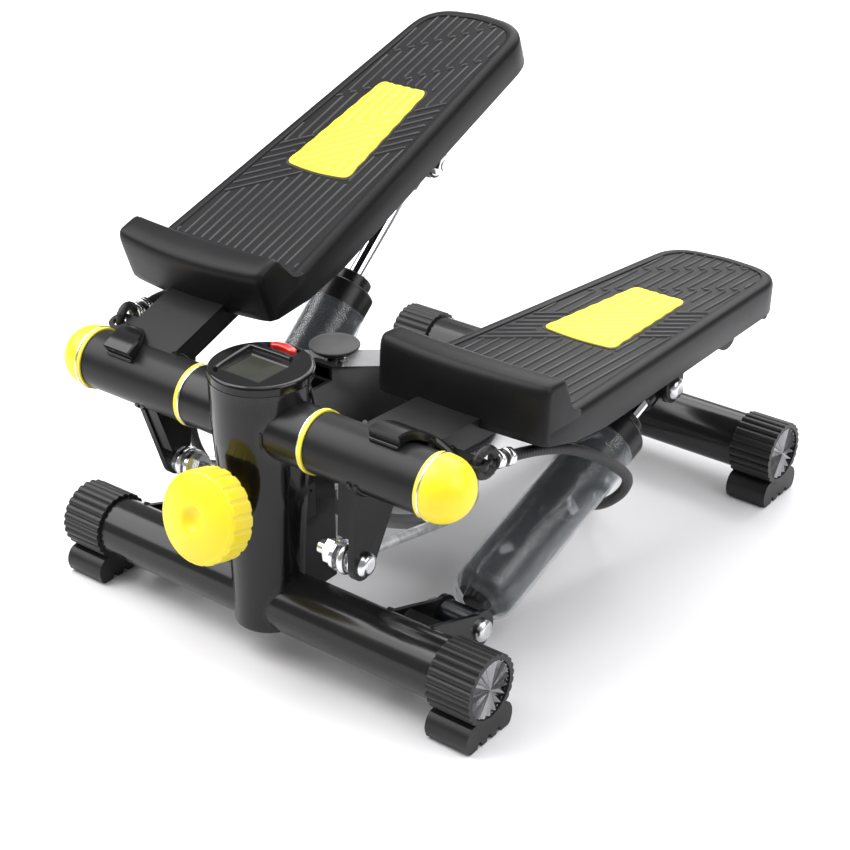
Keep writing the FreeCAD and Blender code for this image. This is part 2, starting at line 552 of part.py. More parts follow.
    # pedal: skirted deck that narrows to the rear, with a raised, bowed toe stop
    pm, hf, hr, pf, pr_, dh = D["pedal_mid"], D["pedal_half_front"], D["pedal_half_rear"], D["pedal_front"], D["pedal_rear"], D["deck_height"]
    sk_d, dt, trise, tth = D["skirt_deep"], D["deck_thick"], D["toe_rise"], D["toe_thick"]

    def half_at(l):
        return hf + (hr - hf) * (max(l, 95.0) - 95.0) / 255.0

    def plan(grow=0.0, front=None):
        """Outline of the pedal in plan, made smaller by -grow on every side."""
        f0 = pf if front is None else front
        c = 26.0 + grow
        a0, a1 = half_at(pf) + grow, half_at(350.0) + grow
        ym = pr_ + grow
        yc = ym - 1.15 * c
        xr = half_at(yc) + grow
        return [(-a0, f0 + 5.0), ("arc", (-a0 + 1.5, f0 + 1.5), (-a0 + 5.0, f0)), (a0 - 5.0, f0), ("arc", (a0 - 1.5, f0 + 1.5), (a0, f0 + 5.0)), (a0, 95.0),
                (xr, yc), ("arc", (xr - 0.36 * c, ym - 0.30 * c), (xr - 1.2 * c, ym - 1.2)), ("arc", (0, ym), (-xr + 1.2 * c, ym - 1.2)), ("arc", (-xr + 0.36 * c, ym - 0.30 * c), (-xr, yc)), (-a0, 95.0)]

    body = new_body("pedal")
    sk = sketch(body, "XY_Plane", [plan()], offset=dh)
    pad(body, sk, sk_d, P("skirt_deep"), rev=True)
    # toe stop as a side profile (y, z) padded across
    toe = new_body("toe")
    prof = [(pf, dh - 10.0), (pf + 1.0, dh + trise - 8), ("arc", (pf + 3.2, dh + trise - 1.9), (pf + 9.0, dh + trise)), (pf + tth - 3.5, dh + trise),
            ("arc", (pf + tth + 0.4, dh + trise - 1.6), (pf + tth + 1.8, dh + trise - 5.0)), ("arc", (pf + tth + 4.6, dh + 3.0), (pf + tth + 10.5, dh + 0.0)), (pf + tth + 10.5, dh - 10.0)]
    pad(toe, sketch(toe, "YZ_Plane", [prof]), 2 * hf - 0.02, mid=True)
    inside = new_body("hollow")
    pad(inside, sketch(inside, "XY_Plane", [plan(-3.0, pf + 12.0)], offset=dh - sk_d - 1.0), sk_d + 1.0 - dt)
    # the skirt's lower edge rises towards the front
    rise = yz_plate([(pf - 10, -30), (pf - 10, 9.4), (pf + 3, 9.0), (112, dh - sk_d), (112, -30)], -80, 80)
    seat_gap = pbox(ai - 1.5 - pm, ao + 1.5 - pm, pf - 5, pf + 13, -30, ahi + 0.02) if side > 0 else box(-(ao + 1.5) + pm, -(ai - 1.5) + pm, pf - 5, pf + 13, -30, ahi + 0.02)
    win = [(-25.6, 181.0), (25.6, 181.0), (19.0, 280.0), (-19.0, 280.0)]

    def window(g, r=6.0):
        """Rounded trapezium for the coloured grip inlay, grown by g."""
        w0, w1, y0, y1 = 25.6 + g, 19.0 + g, 181.0 - g, 280.0 + g
        return [(-w0, y0 + r), ("arc", (-w0 + r * .293, y0 + r * .293), (-w0 + r, y0)), (w0 - r, y0), ("arc", (w0 - r * .293, y0 + r * .293), (w0, y0 + r)), (w1, y1 - r),
                ("arc", (w1 - r * .293, y1 - r * .293), (w1 - r, y1)), (-w1 + r, y1), ("arc", (-w1 + r * .293, y1 - r * .293), (-w1, y1 - r))]

    recess = new_body("recess")
    pad(recess, sketch(recess, "XY_Plane", [window(0.1)], offset=dh - 1.2), 5.0)
    bow = cyl(330.0, 120, at(0, pf + 330.0, -30))
    clip = cut(bow, box(-400, 400, pr_ + 10, pr_ + 700, -40, 120))
    pilot = [cyl(2.42, 12.0, at(side * (xx - pm), yy, dh - dt - 9.2)) for yy in (110.0, 150.0, 255.0) for xx in (84.0, 104.0)]
    ped = cut(common(fuse(body, toe), clip), inside, seat_gap, rise, recess, *pilot)
    node(tag + "_pedal", ped, SWING.multiply(at(side * pm, 0, 0)))

    inlay = new_body("inlay")
    pad(inlay, sketch(inlay, "XY_Plane", [window(0.0)], offset=dh - 1.19), 2.2)
    node(tag + "_pedal_inlay", group(inlay), SWING.multiply(at(side * pm, 0, 0)))

    # pan screws up through the arm's web into bosses under the deck
    screws = []
    for yy in (110.0, 150.0, 255.0):
        for xx in (84.0, 104.0):
            screws.append(fuse(cyl(4.4, 2.2, at(side * xx, yy, ahi - aw - 2.2)), cyl(2.4, aw + 2.8, at(side * xx, yy, ahi - aw - 0.1))))
    node(tag + "_pedal_screws", group(*screws), SWING)

# ---------------------------------------------------------------- dampers
UR, UD = D["upper_reach"], D["upper_drop"]
for side, tag, pitch in ((1, "right", D["right_pitch"]), (-1, "left", D["left_pitch"])):
    a = math.radians(pitch)
    uy, uz = AY + UR * math.cos(a) - UD * math.sin(a), AZ + UR * math.sin(a) + UD * math.cos(a)
    length = math.hypot(uy - LY, uz - LZ)
    ang = math.degrees(math.atan2(uz - LZ, uy - LY))
    print("%s damper: length %.3f angle %.3f upper pin y %.3f z %.3f" % (tag, length, ang, uy, uz))
    X0 = side * DM
    LOW = at(X0, LY, LZ, rotx(ang - 90))
    UP = at(X0, uy, uz, rotx(ang - 90))
    dr, d0, d1, bo = D["damper_rad"], D["damper_low"], D["damper_top"], D["bore_rad"]
    tube = turned([(0, d0 - 8), (8, d0 - 8), (11, d0), (dr - 3, d0), ("arc", (dr - 0.9, d0 + 0.9), (dr, d0 + 3)), (dr, d1 - 15.5), (dr - 2.2, d1 - 15.5), (dr - 2.2, d1 - 3),
                   (bo, d1 - 3), (bo, d0 + 8), (0, d0 + 8)], "damper_tube")
    eye = fuse(tube, cyl(D["eye_rad"], 24.2, at(-12.1, 0, 0, ALONG_X), P("eye_rad")))
    node(tag + "_damper_cylinder", cut(eye, cyl(D["pin_rad"] + 0.06, 60, at(-30, 0, 0, ALONG_X), P("pin_rad") + " + 0.06")), LOW)
    rr_ = D["rod_rad"]
    gl = turned([(rr_ + 0.06, d1 - 3), (dr - 2.15, d1 - 3), (dr - 2.15, d1 - 15.4), (dr + 0.3, d1 - 15.4), (dr + 0.3, d1 - 2.0), ("arc", (dr - 0.4, d1 + 0.2), (dr - 2.4, d1 + 1.0)),
                 (13.2, d1 + 1.0), (13.2, d1 + 7.6), ("arc", (12.6, d1 + 9.2), (11.0, d1 + 9.8)), (rr_ + 0.06, d1 + 9.8)], "gland")
    node(tag + "_damper_gland", group(gl), LOW)
    rod = turned([(0, -8.5), (rr_ - 1.2, -8.5), (rr_ - 1.2, -20.4), (rr_, -20.4), (rr_, -128), (bo - 0.06, -128), (bo - 0.06, -139), (0, -139)], "rod")
    node(tag + "_damper_rod", group(rod), UP)
    re_ = cut(fuse(cyl(10.8, 19.4, at(-9.7, 0, 0, ALONG_X)), cyl(7.6, 17.0, at(0, 0, -20.3))), cyl(6.1, 60, at(-30, 0, 0, ALONG_X)), cyl(rr_ - 1.18, 13.6, at(0, 0, -20.8)))
    node(tag + "_rod_end", re_, UP)

# ---------------------------------------------------------------- cable between the two levers round the pulley
rr_rope, ring = D["rope_rad"], D["rope_ring"]
wrap = []
for side, tag, pitch in ((1, "right", D["right_pitch"]), (-1, "left", D["left_pitch"])):
    a = math.radians(pitch)
    ly, lz = LEVER[tag]
    py, pz = AY + ly * math.cos(a) - lz * math.sin(a), AZ + ly * math.sin(a) + lz * math.cos(a)
    px = side * (D["lever_in"] - 7.3)
    # tangent from the lever's pin to the pulley's rope ring, in plan
    dx, dy = px - 0.0, py - PY
    dist = math.hypot(dx, dy)
    base = math.atan2(dy, dx)
    off = math.acos(ring / dist)
    th = base + side * off
    tx, ty = ring * math.cos(th), PY + ring * math.sin(th)
    start = V(px, py, pz)
    end = V(tx, ty, PZ)
    level = V(px - tx, py - ty, 0)
    level.normalize()
    knee = end + level * 26.0
    line = knee - start
    u = V(line.x, line.y, line.z)
    u.normalize()
    s0 = start + u * 11.0
    # thimble round the lever's pin, the ferrule behind it, then the rope
    eye = Part.makeTorus(7.6, 2.4, V(px, py, pz), V(1, 0, 0))
    span_obj = tube_along([end, knee, s0], rr_rope, tag + "_span")
    span = span_obj.Shape.copy()
    ferrule = Part.makeCylinder(rr_rope + 1.5, 15.0, s0 + u * 3.0, u).cut(Part.makeCylinder(rr_rope, 40.0, s0 - u * 5, u))
    node(tag + "_cable_span", span_obj)
    node(tag + "_cable_thimble", group(feature(eye.cut(span), "thimble"), feature(ferrule, "ferrule")))
    wrap.append(th)
    print("%s cable: tangent %.2f %.2f angle %.1f, lever pin y %.2f z %.2f" % (tag, tx, ty, math.degrees(th), py, pz))
t_r, t_l = wrap[0], wrap[1]
t_l = t_l % (2 * math.pi)
t_r = t_r % (2 * math.pi)
if t_r > math.pi:
    t_r -= 2 * math.pi
sweep = math.degrees(t_l - t_r)
print("cable wrap sweep %.1f degrees" % sweep)
ringo = Part.makeTorus(ring, rr_rope, V(0, 0, 0), V(0, 0, 1), 0, 360, sweep)
ringo.Placement = at(0, PY, PZ, FreeCAD.Rotation(V(0, 0, 1), math.degrees(t_r)))
node("cable_wrap", feature(ringo, "wrap"))

# ---------------------------------------------------------------- exercise cords: eye and crimps on the arm, cord, coil, handle
CR = D["cord_rad"]
FLOOR = CR
RIGHT_ROUTE = [(137.2, 51.0, 152.6), (141.0, 72.0, 148.5), (145.0, 98.0, 139.0), (147.5, 126.0, 122.0), (147.0, 152.0, 102.0), (140.0, 175.0, 82.0),
               (126.0, 191.0, 60.0), (107.0, 204.0, 40.0), (86.0, 220.0, 23.0), (68.0, 240.0, 9.5), (54.0, 265.0, FLOOR + 0.4), (32.0, 289.0, FLOOR), (1.0, 304.0, FLOOR), (-32.0, 311.0, FLOOR), (-56.0, 314.0, FLOOR)]
LEFT_ROUTE = [(-138.6, 47.0, 168.4), (-142.0, 67.0, 169.0), (-146.5, 88.0, 157.0), (-149.5, 96.0, 134.0), (-150.5, 93.0, 104.0), (-151.0, 89.5, 73.0),
              (-152.0, 94.0, 44.0), (-153.5, 108.5, 20.0), (-156.0, 131.0, FLOOR + 2.6), (-156.5, 152.0, FLOOR)]
TAILS = {"right": [(-74.5, 237.5, FLOOR), (-66.0, 229.5, 4.6), (-60.0, 218.5, 9.3), (-58.5, 209.0, 12.0)],
         "left": [(-157.0, 195.0, FLOOR), (-155.0, 207.0, 5.0), (-148.4, 219.0, 10.8), (-146.0, 232.0, 12.0)]}
COILS = {"right": (-86.0, 276.0), "left": (-117.0, 175.0)}
HANDLES = {"right": ((-58.5, 209.0), -90.0), "left": ((-146.0, 232.0), 90.0)}


def shifted(pts):
    return [V(x, y + SH, z) for x, y, z in pts]


for side, tag, route in ((1, "right", RIGHT_ROUTE), (-1, "left", LEFT_ROUTE)):
    SWING = at(0, AY, AZ, rotx(D[tag + "_pitch"]))
    pts = shifted(route)
    # the first run points straight away from the eye plate's hole
    hole = SWING.multVec(V(side * EYE_X, 27.0, 4.5))
    aim = pts[1] - hole
    aim.normalize()
    pts[0] = hole + aim * 28.0
    print(tag, "first point", round(pts[0].x, 2), round(pts[0].y - SH, 2), round(pts[0].z, 2))
    lead = tube_along(pts, CR, tag + "_lead")
    tail = tube_along(shifted(TAILS[tag]), CR, tag + "_tail")
    node(tag + "_cord", group(lead, tail))
    cx, cy = COILS[tag]
    m = D["coil_mean"]
    ring_ = turned([(m - 7.0, 1.5), ("arc", (m - 6.6, 0.4), (m - 5.5, 0.0)), (m + 5.5, 0.0), ("arc", (m + 6.6, 0.4), (m + 7.0, 1.5)), (m + 7.0, 7.5), ("arc", (m + 5.0, 12.0), (m, D["coil_high"])), ("arc", (m - 5.0, 12.0), (m - 7.0, 7.5))], "coil")
    ring_.Placement = at(cx, cy + SH, 0)
    node(tag + "_cord_coil", ring_)
    (hx, hy), turn = HANDLES[tag]
    hd = turned([(0, 0), (5.5, 0), (6.0, 0.6), (6.0, 5.0), (11.0, 10.5), (11.9, 14.0), (11.9, 68.0), (10.6, 75.0), (7.0, 78.6), (0, 78.6)], "handle")
    hd.Placement = at(hx, hy + SH, 12.0, FreeCAD.Rotation(V(0, 0, 1), turn).multiply(FreeCAD.Rotation(V(0, 1, 0), 90)))
    node(tag + "_cord_handle", hd)
    # the cord's own eye through the plate's hole, and the two crimped sleeves that close it
    reach = 28.0
    loop = Part.makeTorus(7.4, 3.1, hole + aim * 7.4, V(1, 0, 0).cross(aim).cross(aim).multiply(-1))
    neck = Part.makeCylinder(CR + 0.6, reach - 13.0, hole + aim * 13.0, aim)
    s1 = Part.makeCylinder(CR + 2.0, 5.0, hole + aim * (reach - 13.6), aim)
    s2 = Part.makeCylinder(CR + 2.0, 5.0, hole + aim * (reach - 5.4), aim)
    node(tag + "_cord_eye", feature(loop.fuse([neck, s1, s2]), "eye"))
    print("%s eye: hole %.1f %.1f %.1f reach %.1f" % (tag, hole.x, hole.y, hole.z, reach))

doc.recompute()
bad = []
for o in doc.Objects:
    if any(s in ("Invalid", "Error") for s in o.State):
        bad.append((o.Label, o.State))
for name, o in PARTS.items():
    if o.Shape.isNull() or not o.Shape.isValid() or not o.Shape.Solids:
        bad.append((name, "shape"))
if bad:
    print("FAILED", bad)
    sys.exit(1)
lo, hi = [1e9] * 3, [-1e9] * 3
for name, o in sorted(PARTS.items()):
    bb = o.Shape.BoundBox
    for k, (p, q) in enumerate(((bb.XMin, bb.XMax), (bb.YMin, bb.YMax), (bb.ZMin, bb.ZMax))):
        lo[k], hi[k] = min(lo[k], p), max(hi[k], q)
    o.Shape.exportStep("parts/%s.step" % name)
print(len(PARTS), "nodes; box", [round(v, 2) for v in lo], [round(v, 2) for v in hi], "y centre", round((lo[1] + hi[1]) / 2, 2))
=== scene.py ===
import math

import bmesh
import bpy
from mathutils import Matrix, Vector, noise


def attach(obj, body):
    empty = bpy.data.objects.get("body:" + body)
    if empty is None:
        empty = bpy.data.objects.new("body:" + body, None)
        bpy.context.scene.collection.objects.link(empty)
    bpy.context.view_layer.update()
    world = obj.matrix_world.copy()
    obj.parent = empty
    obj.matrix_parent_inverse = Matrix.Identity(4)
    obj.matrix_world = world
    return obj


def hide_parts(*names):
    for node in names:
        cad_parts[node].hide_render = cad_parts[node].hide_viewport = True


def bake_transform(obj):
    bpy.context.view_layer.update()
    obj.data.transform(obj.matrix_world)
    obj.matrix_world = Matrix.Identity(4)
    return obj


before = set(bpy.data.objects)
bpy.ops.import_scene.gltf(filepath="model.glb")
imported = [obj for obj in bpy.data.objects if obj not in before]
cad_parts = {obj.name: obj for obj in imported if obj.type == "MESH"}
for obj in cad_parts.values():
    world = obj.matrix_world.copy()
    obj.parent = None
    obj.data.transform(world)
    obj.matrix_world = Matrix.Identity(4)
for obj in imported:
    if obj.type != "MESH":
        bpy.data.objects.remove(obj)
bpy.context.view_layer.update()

MM = 0.001
SH = -151.4                      # the front stabiliser's place behind the origin, as in the CAD
AY, AZ = -156.0, 154.5           # pivot axle
PITCH = {"right": -3.2, "left": 19.2}
SIDE = {"right": 1, "left": -1}
TOPZ = 187.0                     # the monitor's face
PEDAL_MID = 95.6


def V3(x, y, z):
    return Vector((x, y, z))


def place(x=0.0, y=0.0, z=0.0, *turns):
    m = Matrix.Translation(V3(x, y, z))
    for axis, deg in turns:
        m = m @ Matrix.Rotation(math.radians(deg), 4, axis)
    return m


def swing(tag):
    return place(0, AY, AZ, ("X", PITCH[tag]))


# ------------------------------------------------------------------ materials
def nodes_of(name):
    m = bpy.data.materials.new(name)
    m.use_nodes = True
    nt = m.node_tree
    nt.nodes.clear()
    out = nt.nodes.new("ShaderNodeOutputMaterial")
    b = nt.nodes.new("ShaderNodeBsdfPrincipled")
    nt.links.new(b.outputs[0], out.inputs[0])
    return m, nt, b


def surface(name, color, rough, metal=0.0, coat=0.0, coat_rough=0.08, grain=900.0, bump=0.05, mottle=28.0, vary=0.12,
            rough_vary=0.06, edge_highlight=0.0, edge_highlight_color=(0.5, 0.5, 0.5), spec=0.5, sheen=0.0, stretch=(1, 1, 1), aniso=0.0, pits=0.0):
    """Procedural finish: moulded or brushed grain in the bump, cloudy change of tone and roughness, and a painted
    highlight: convex edges mixed towards a paler colour.
    """
    m, nt, b = nodes_of(name)
    b.inputs["Metallic"].default_value = metal
    b.inputs["Coat Weight"].default_value = coat
    b.inputs["Coat Roughness"].default_value = coat_rough
    b.inputs["Specular IOR Level"].default_value = spec
    b.inputs["Sheen Weight"].default_value = sheen
    b.inputs["Anisotropic"].default_value = aniso
    tc = nt.nodes.new("ShaderNodeTexCoord")
    mp = nt.nodes.new("ShaderNodeMapping")
    mp.inputs["Scale"].default_value = stretch
    nt.links.new(tc.outputs["Object"], mp.inputs["Vector"])
    fine = nt.nodes.new("ShaderNodeTexNoise")
    fine.inputs["Scale"].default_value = grain
    fine.inputs["Detail"].default_value = 3.0
    nt.links.new(mp.outputs[0], fine.inputs["Vector"])
    cloud = nt.nodes.new("ShaderNodeTexNoise")
    cloud.inputs["Scale"].default_value = mottle
    cloud.inputs["Detail"].default_value = 4.0
    nt.links.new(tc.outputs["Object"], cloud.inputs["Vector"])
    ramp = nt.nodes.new("ShaderNodeValToRGB")
    lo = [max(0.0, c * (1 - vary)) for c in color] + [1]
    hi = [min(1.0, c * (1 + vary) + 0.001) for c in color] + [1]
    ramp.color_ramp.elements[0].position, ramp.color_ramp.elements[1].position = 0.3, 0.7
    ramp.color_ramp.elements[0].color, ramp.color_ramp.elements[1].color = lo, hi
    nt.links.new(cloud.outputs["Fac"], ramp.inputs["Fac"])
    col = ramp.outputs["Color"]
    # painted highlight: sharp convex edges (pointiness) are mixed towards a paler colour
    if edge_highlight > 0:
        geo = nt.nodes.new("ShaderNodeNewGeometry")
        edge = nt.nodes.new("ShaderNodeMapRange")
        edge.inputs["From Min"].default_value, edge.inputs["From Max"].default_value = 0.53, 0.64
        edge.inputs["To Max"].default_value = edge_highlight
        nt.links.new(geo.outputs["Pointiness"], edge.inputs["Value"])
        mix = nt.nodes.new("ShaderNodeMix")
        mix.data_type = "RGBA"
        mix.inputs[7].default_value = tuple(edge_highlight_color) + (1,)
        nt.links.new(edge.outputs[0], mix.inputs[0])
        nt.links.new(col, mix.inputs[6])
        col = mix.outputs[2]
    nt.links.new(col, b.inputs["Base Color"])
    rr = nt.nodes.new("ShaderNodeMapRange")
    rr.inputs["To Min"].default_value, rr.inputs["To Max"].default_value = max(0.02, rough - rough_vary), min(1.0, rough + rough_vary)
    nt.links.new(cloud.outputs["Fac"], rr.inputs["Value"])
    nt.links.new(rr.outputs[0], b.inputs["Roughness"])
    bp = nt.nodes.new("ShaderNodeBump")
    bp.inputs["Strength"].default_value = bump
    bp.inputs["Distance"].default_value = 0.0004
    nt.links.new(fine.outputs["Fac"], bp.inputs["Height"])
    last = bp
    if pits > 0:
        soft = nt.nodes.new("ShaderNodeTexNoise")
        soft.inputs["Scale"].default_value = 60.0
        nt.links.new(tc.outputs["Object"], soft.inputs["Vector"])
        b2 = nt.nodes.new("ShaderNodeBump")
        b2.inputs["Strength"].default_value = pits
        b2.inputs["Distance"].default_value = 0.001
        nt.links.new(soft.outputs["Fac"], b2.inputs["Height"])
        nt.links.new(bp.outputs[0], b2.inputs["Normal"])
        last = b2
    nt.links.new(last.outputs[0], b.inputs["Normal"])
    return m


# the pale edge colours below are painted highlights on convex edges
TREADLE = surface("treadle_plastic", (0.0085, 0.0085, 0.0094), 0.38, grain=1500, bump=0.16, mottle=14, vary=0.10, edge_highlight=0.30, edge_highlight_color=(0.05, 0.05, 0.054), spec=0.13)
# the ribs use the deck's own plastic made a little lighter, a painted highlight on their crests
TREADLE_RIB_LIT = surface("treadle_rib_plastic", (0.011, 0.011, 0.012), 0.34, grain=1500, bump=0.10, mottle=20, vary=0.10, edge_highlight=0.45, edge_highlight_color=(0.12, 0.12, 0.125), spec=0.22)
CAP = surface("cap_plastic", (0.011, 0.011, 0.012), 0.38, grain=1300, bump=0.14, mottle=30, vary=0.15, edge_highlight=0.22, edge_highlight_color=(0.05, 0.05, 0.05), spec=0.26)
SLEEVE = surface("sleeve_plastic", (0.008, 0.008, 0.009), 0.30, grain=900, bump=0.06, mottle=30, vary=0.15, spec=0.3)
SHELL = surface("gloss_plastic", (0.004, 0.004, 0.0045), 0.13, coat=0.15, coat_rough=0.05, spec=0.28, grain=700, bump=0.02, mottle=18, vary=0.15, rough_vary=0.04, edge_highlight=0.2, edge_highlight_color=(0.1, 0.1, 0.1))
PAINT = surface("black_powder_paint", (0.003, 0.003, 0.0035), 0.19, coat=0.11, coat_rough=0.10, spec=0.26, grain=420, bump=0.05, mottle=22, vary=0.2, rough_vary=0.05, edge_highlight=0.2, edge_highlight_color=(0.06, 0.06, 0.06), pits=0.03)
SATIN = surface("satin_black_paint", (0.0045, 0.0045, 0.005), 0.34, spec=0.18, grain=520, bump=0.06, mottle=24, vary=0.2, rough_vary=0.06, edge_highlight=0.2, edge_highlight_color=(0.06, 0.06, 0.06), pits=0.03)
DAMPER = surface("damper_paint", (0.006, 0.0075, 0.011), 0.26, spec=0.40, grain=500, bump=0.04, mottle=30, vary=0.2)
ZINC = surface("zinc_plate", (0.70, 0.71, 0.72), 0.24, metal=1.0, grain=700, bump=0.06, mottle=120, vary=0.14, rough_vary=0.10, edge_highlight=0.3, edge_highlight_color=(0.95, 0.95, 0.95))
CHROME = surface("chrome", (0.82, 0.83, 0.85), 0.07, metal=1.0, grain=500, bump=0.015, mottle=60, vary=0.05, rough_vary=0.03, stretch=(1, 1, 1))
YELLOW = surface("yellow_plastic", (0.90, 0.72, 0.018), 0.36, grain=1200, bump=0.06, mottle=25, vary=0.05, edge_highlight=0.3, edge_highlight_color=(0.98, 0.92, 0.35), spec=0.45)
INLAY = surface("yellow_grip", (0.90, 0.73, 0.022), 0.46, grain=1200, bump=0.08, mottle=25, vary=0.04, edge_highlight=0.35, edge_highlight_color=(1.0, 0.93, 0.40), spec=0.4)
RED = surface("red_button", (0.62, 0.02, 0.015), 0.25, coat=0.5, grain=800, bump=0.03, mottle=60, vary=0.08)
RUBBER = surface("rubber", (0.020, 0.020, 0.021), 0.55, grain=1100, bump=0.25, mottle=70, vary=0.2, edge_highlight=0.25, edge_highlight_color=(0.08, 0.08, 0.08), sheen=0.1)
CORDSKIN = surface("cord_cover", (0.009, 0.009, 0.010), 0.42, grain=1400, bump=0.25, mottle=90, vary=0.25, edge_highlight=0.4, edge_highlight_color=(0.10, 0.10, 0.11), spec=0.3)
ROPE = surface("wire_rope", (0.62, 0.63, 0.64), 0.35, metal=0.35, coat=0.7, coat_rough=0.12, grain=600, bump=0.15, mottle=160, vary=0.25)
GREY = surface("grey_plastic", (0.42, 0.42, 0.43), 0.4, grain=1100, bump=0.08, mottle=40, vary=0.1)
DISC = surface("disc_metal", (0.24, 0.24, 0.25), 0.17, metal=1.0, grain=500, bump=0.05, mottle=90, vary=0.18, rough_vary=0.08, edge_highlight=0.3, edge_highlight_color=(0.85, 0.85, 0.86))
DARKLINE = surface("inlay_edge", (0.008, 0.008, 0.008), 0.6, grain=900, bump=0.1, mottle=50, vary=0.3)


def film_mat():
    """Clear wrapping film: nearly invisible where it faces out; its pale opacity towards the edges is a painted
    reflection, and pale spots along its creases are painted highlights.
    """
    m, nt, b = nodes_of("clear_film")
    b.inputs["Base Color"].default_value = (0.70, 0.75, 0.80, 1)
    b.inputs["Roughness"].default_value = 0.07
    b.inputs["Specular IOR Level"].default_value = 1.0
    b.inputs["Coat Weight"].default_value = 1.0
    b.inputs["Coat Roughness"].default_value = 0.05
    tc = nt.nodes.new("ShaderNodeTexCoord")
    n1 = nt.nodes.new("ShaderNodeTexNoise")
    n1.inputs["Scale"].default_value = 38.0
    n1.inputs["Detail"].default_value = 3.0
    n1.inputs["Distortion"].default_value = 2.2
    nt.links.new(tc.outputs["Object"], n1.inputs["Vector"])
    bp = nt.nodes.new("ShaderNodeBump")
    bp.inputs["Strength"].default_value = 0.55
    bp.inputs["Distance"].default_value = 0.003
    nt.links.new(n1.outputs["Fac"], bp.inputs["Height"])
    nt.links.new(bp.outputs[0], b.inputs["Normal"])
    # painted highlights: pale opaque spots where the crease noise peaks
    painted_crease_glints = nt.nodes.new("ShaderNodeValToRGB")
    painted_crease_glints.color_ramp.elements[0].position, painted_crease_glints.color_ramp.elements[1].position = 0.63, 0.70
    nt.links.new(n1.outputs["Fac"], painted_crease_glints.inputs["Fac"])
    # painted reflection: the pale film grows more opaque towards grazing angles
    lw = nt.nodes.new("ShaderNodeLayerWeight")
    lw.inputs["Blend"].default_value = 0.5
    pw = nt.nodes.new("ShaderNodeMath")
    pw.operation = "POWER"
    pw.inputs[1].default_value = 2.6
    nt.links.new(lw.outputs["Facing"], pw.inputs[0])
    e1 = nt.nodes.new("ShaderNodeMath")
    e1.operation = "MULTIPLY_ADD"
    e1.inputs[1].default_value, e1.inputs[2].default_value = 0.42, 0.045
    nt.links.new(pw.outputs[0], e1.inputs[0])
    e2 = nt.nodes.new("ShaderNodeMath")
    e2.operation = "MULTIPLY_ADD"
    e2.inputs[1].default_value = 0.22
    e2.use_clamp = True
    nt.links.new(painted_crease_glints.outputs["Color"], e2.inputs[0])
    nt.links.new(e1.outputs[0], e2.inputs[2])
    nt.links.new(e2.outputs[0], b.inputs["Alpha"])
    return m


FILM = film_mat()


def display_mat():
    """Olive grey liquid crystal panel behind a clear window: faint cell rows and a cloudy change of tone."""
    m, nt, b = nodes_of("display_glass")
    b.inputs["Roughness"].default_value = 0.12
    b.inputs["Coat Weight"].default_value = 0.2
    b.inputs["Specular IOR Level"].default_value = 0.3
    b.inputs["Coat Roughness"].default_value = 0.03
    tc = nt.nodes.new("ShaderNodeTexCoord")
    w = nt.nodes.new("ShaderNodeTexWave")
    w.inputs["Scale"].default_value = 260.0
    w.inputs["Distortion"].default_value = 0.3
    nt.links.new(tc.outputs["Object"], w.inputs["Vector"])
    n = nt.nodes.new("ShaderNodeTexNoise")
    n.inputs["Scale"].default_value = 60.0
    nt.links.new(tc.outputs["Object"], n.inputs["Vector"])
    mix = nt.nodes.new("ShaderNodeMath")
    mix.operation = "MULTIPLY_ADD"
    mix.inputs[1].default_value = 0.25
    nt.links.new(w.outputs["Fac"], mix.inputs[0])
    nt.links.new(n.outputs["Fac"], mix.inputs[2])
    r = nt.nodes.new("ShaderNodeValToRGB")
    r.color_ramp.elements[0].color = (0.016, 0.017, 0.014, 1)
    r.color_ramp.elements[1].color = (0.036, 0.038, 0.030, 1)
    nt.links.new(mix.outputs[0], r.inputs["Fac"])
    nt.links.new(r.outputs[0], b.inputs["Base Color"])
    return m


DISPLAY = display_mat()


# ------------------------------------------------------------------ mesh helpers
def make(name, verts, faces, mat, body, matrix=None, sharp=32.0, parts=()):
    """A piece from points in millimetres, moved by matrix, with smooth shading up to a crease angle."""
    me = bpy.data.meshes.new(name)
    mtx = matrix or Matrix.Identity(4)
    me.from_pydata([[c * MM for c in (mtx @ Vector(v))] for v in verts], [], faces)
    bm = bmesh.new()
    bm.from_mesh(me)
    bmesh.ops.remove_doubles(bm, verts=bm.verts, dist=1e-6)
    bmesh.ops.recalc_face_normals(bm, faces=bm.faces)
    lim = math.radians(sharp)
    for f in bm.faces:
        f.smooth = True
    for e in bm.edges:
        if len(e.link_faces) == 2 and e.calc_face_angle(0.0) > lim:
            e.smooth = False
    bm.to_mesh(me)
    bm.free()
    me.materials.append(mat)
    o = bpy.data.objects.new(name, me)
    bpy.context.collection.objects.link(o)
    if body:
        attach(o, body)
    return o


class Mesh:
    """Collects several closed forms into one piece."""

    def __init__(self):
        self.v, self.f = [], []

    def add(self, verts, faces, matrix=None):
        n = len(self.v)
        m = matrix or Matrix.Identity(4)
        self.v += [tuple(m @ Vector(v)) for v in verts]
        self.f += [[i + n for i in f] for f in faces]

    def rings(self, rows, matrix=None, close=False, caps=True):
        """Skin over rings of equal size; close joins the last ring to the first."""
        k = len(rows[0])
        verts = [p for r in rows for p in r]
        faces = []
        cnt = len(rows)
        for i in range(cnt if close else cnt - 1):
            j = (i + 1) % cnt
            for a in range(k):
                b = (a + 1) % k
                faces.append([i * k + a, i * k + b, j * k + b, j * k + a])
        if caps and not close:
            faces.append(list(range(k))[::-1])
            faces.append([(cnt - 1) * k + a for a in range(k)])
        self.add(verts, faces, matrix)


def turned(profile, matrix=None, seg=64, radial=None, into=None):
    """Surface of revolution about local Z from (radius, height); radial(angle, r, z) may shape it."""
    rows = []
    for r, z in profile:
        row = []
        for k in range(seg):
            a = 2 * math.pi * k / seg
            rr, zz = (r, z) if radial is None else radial(a, r, z)
            row.append((rr * math.cos(a), rr * math.sin(a), zz))
        rows.append(row)
    m = into or Mesh()
    m.rings(rows, matrix)
    return m


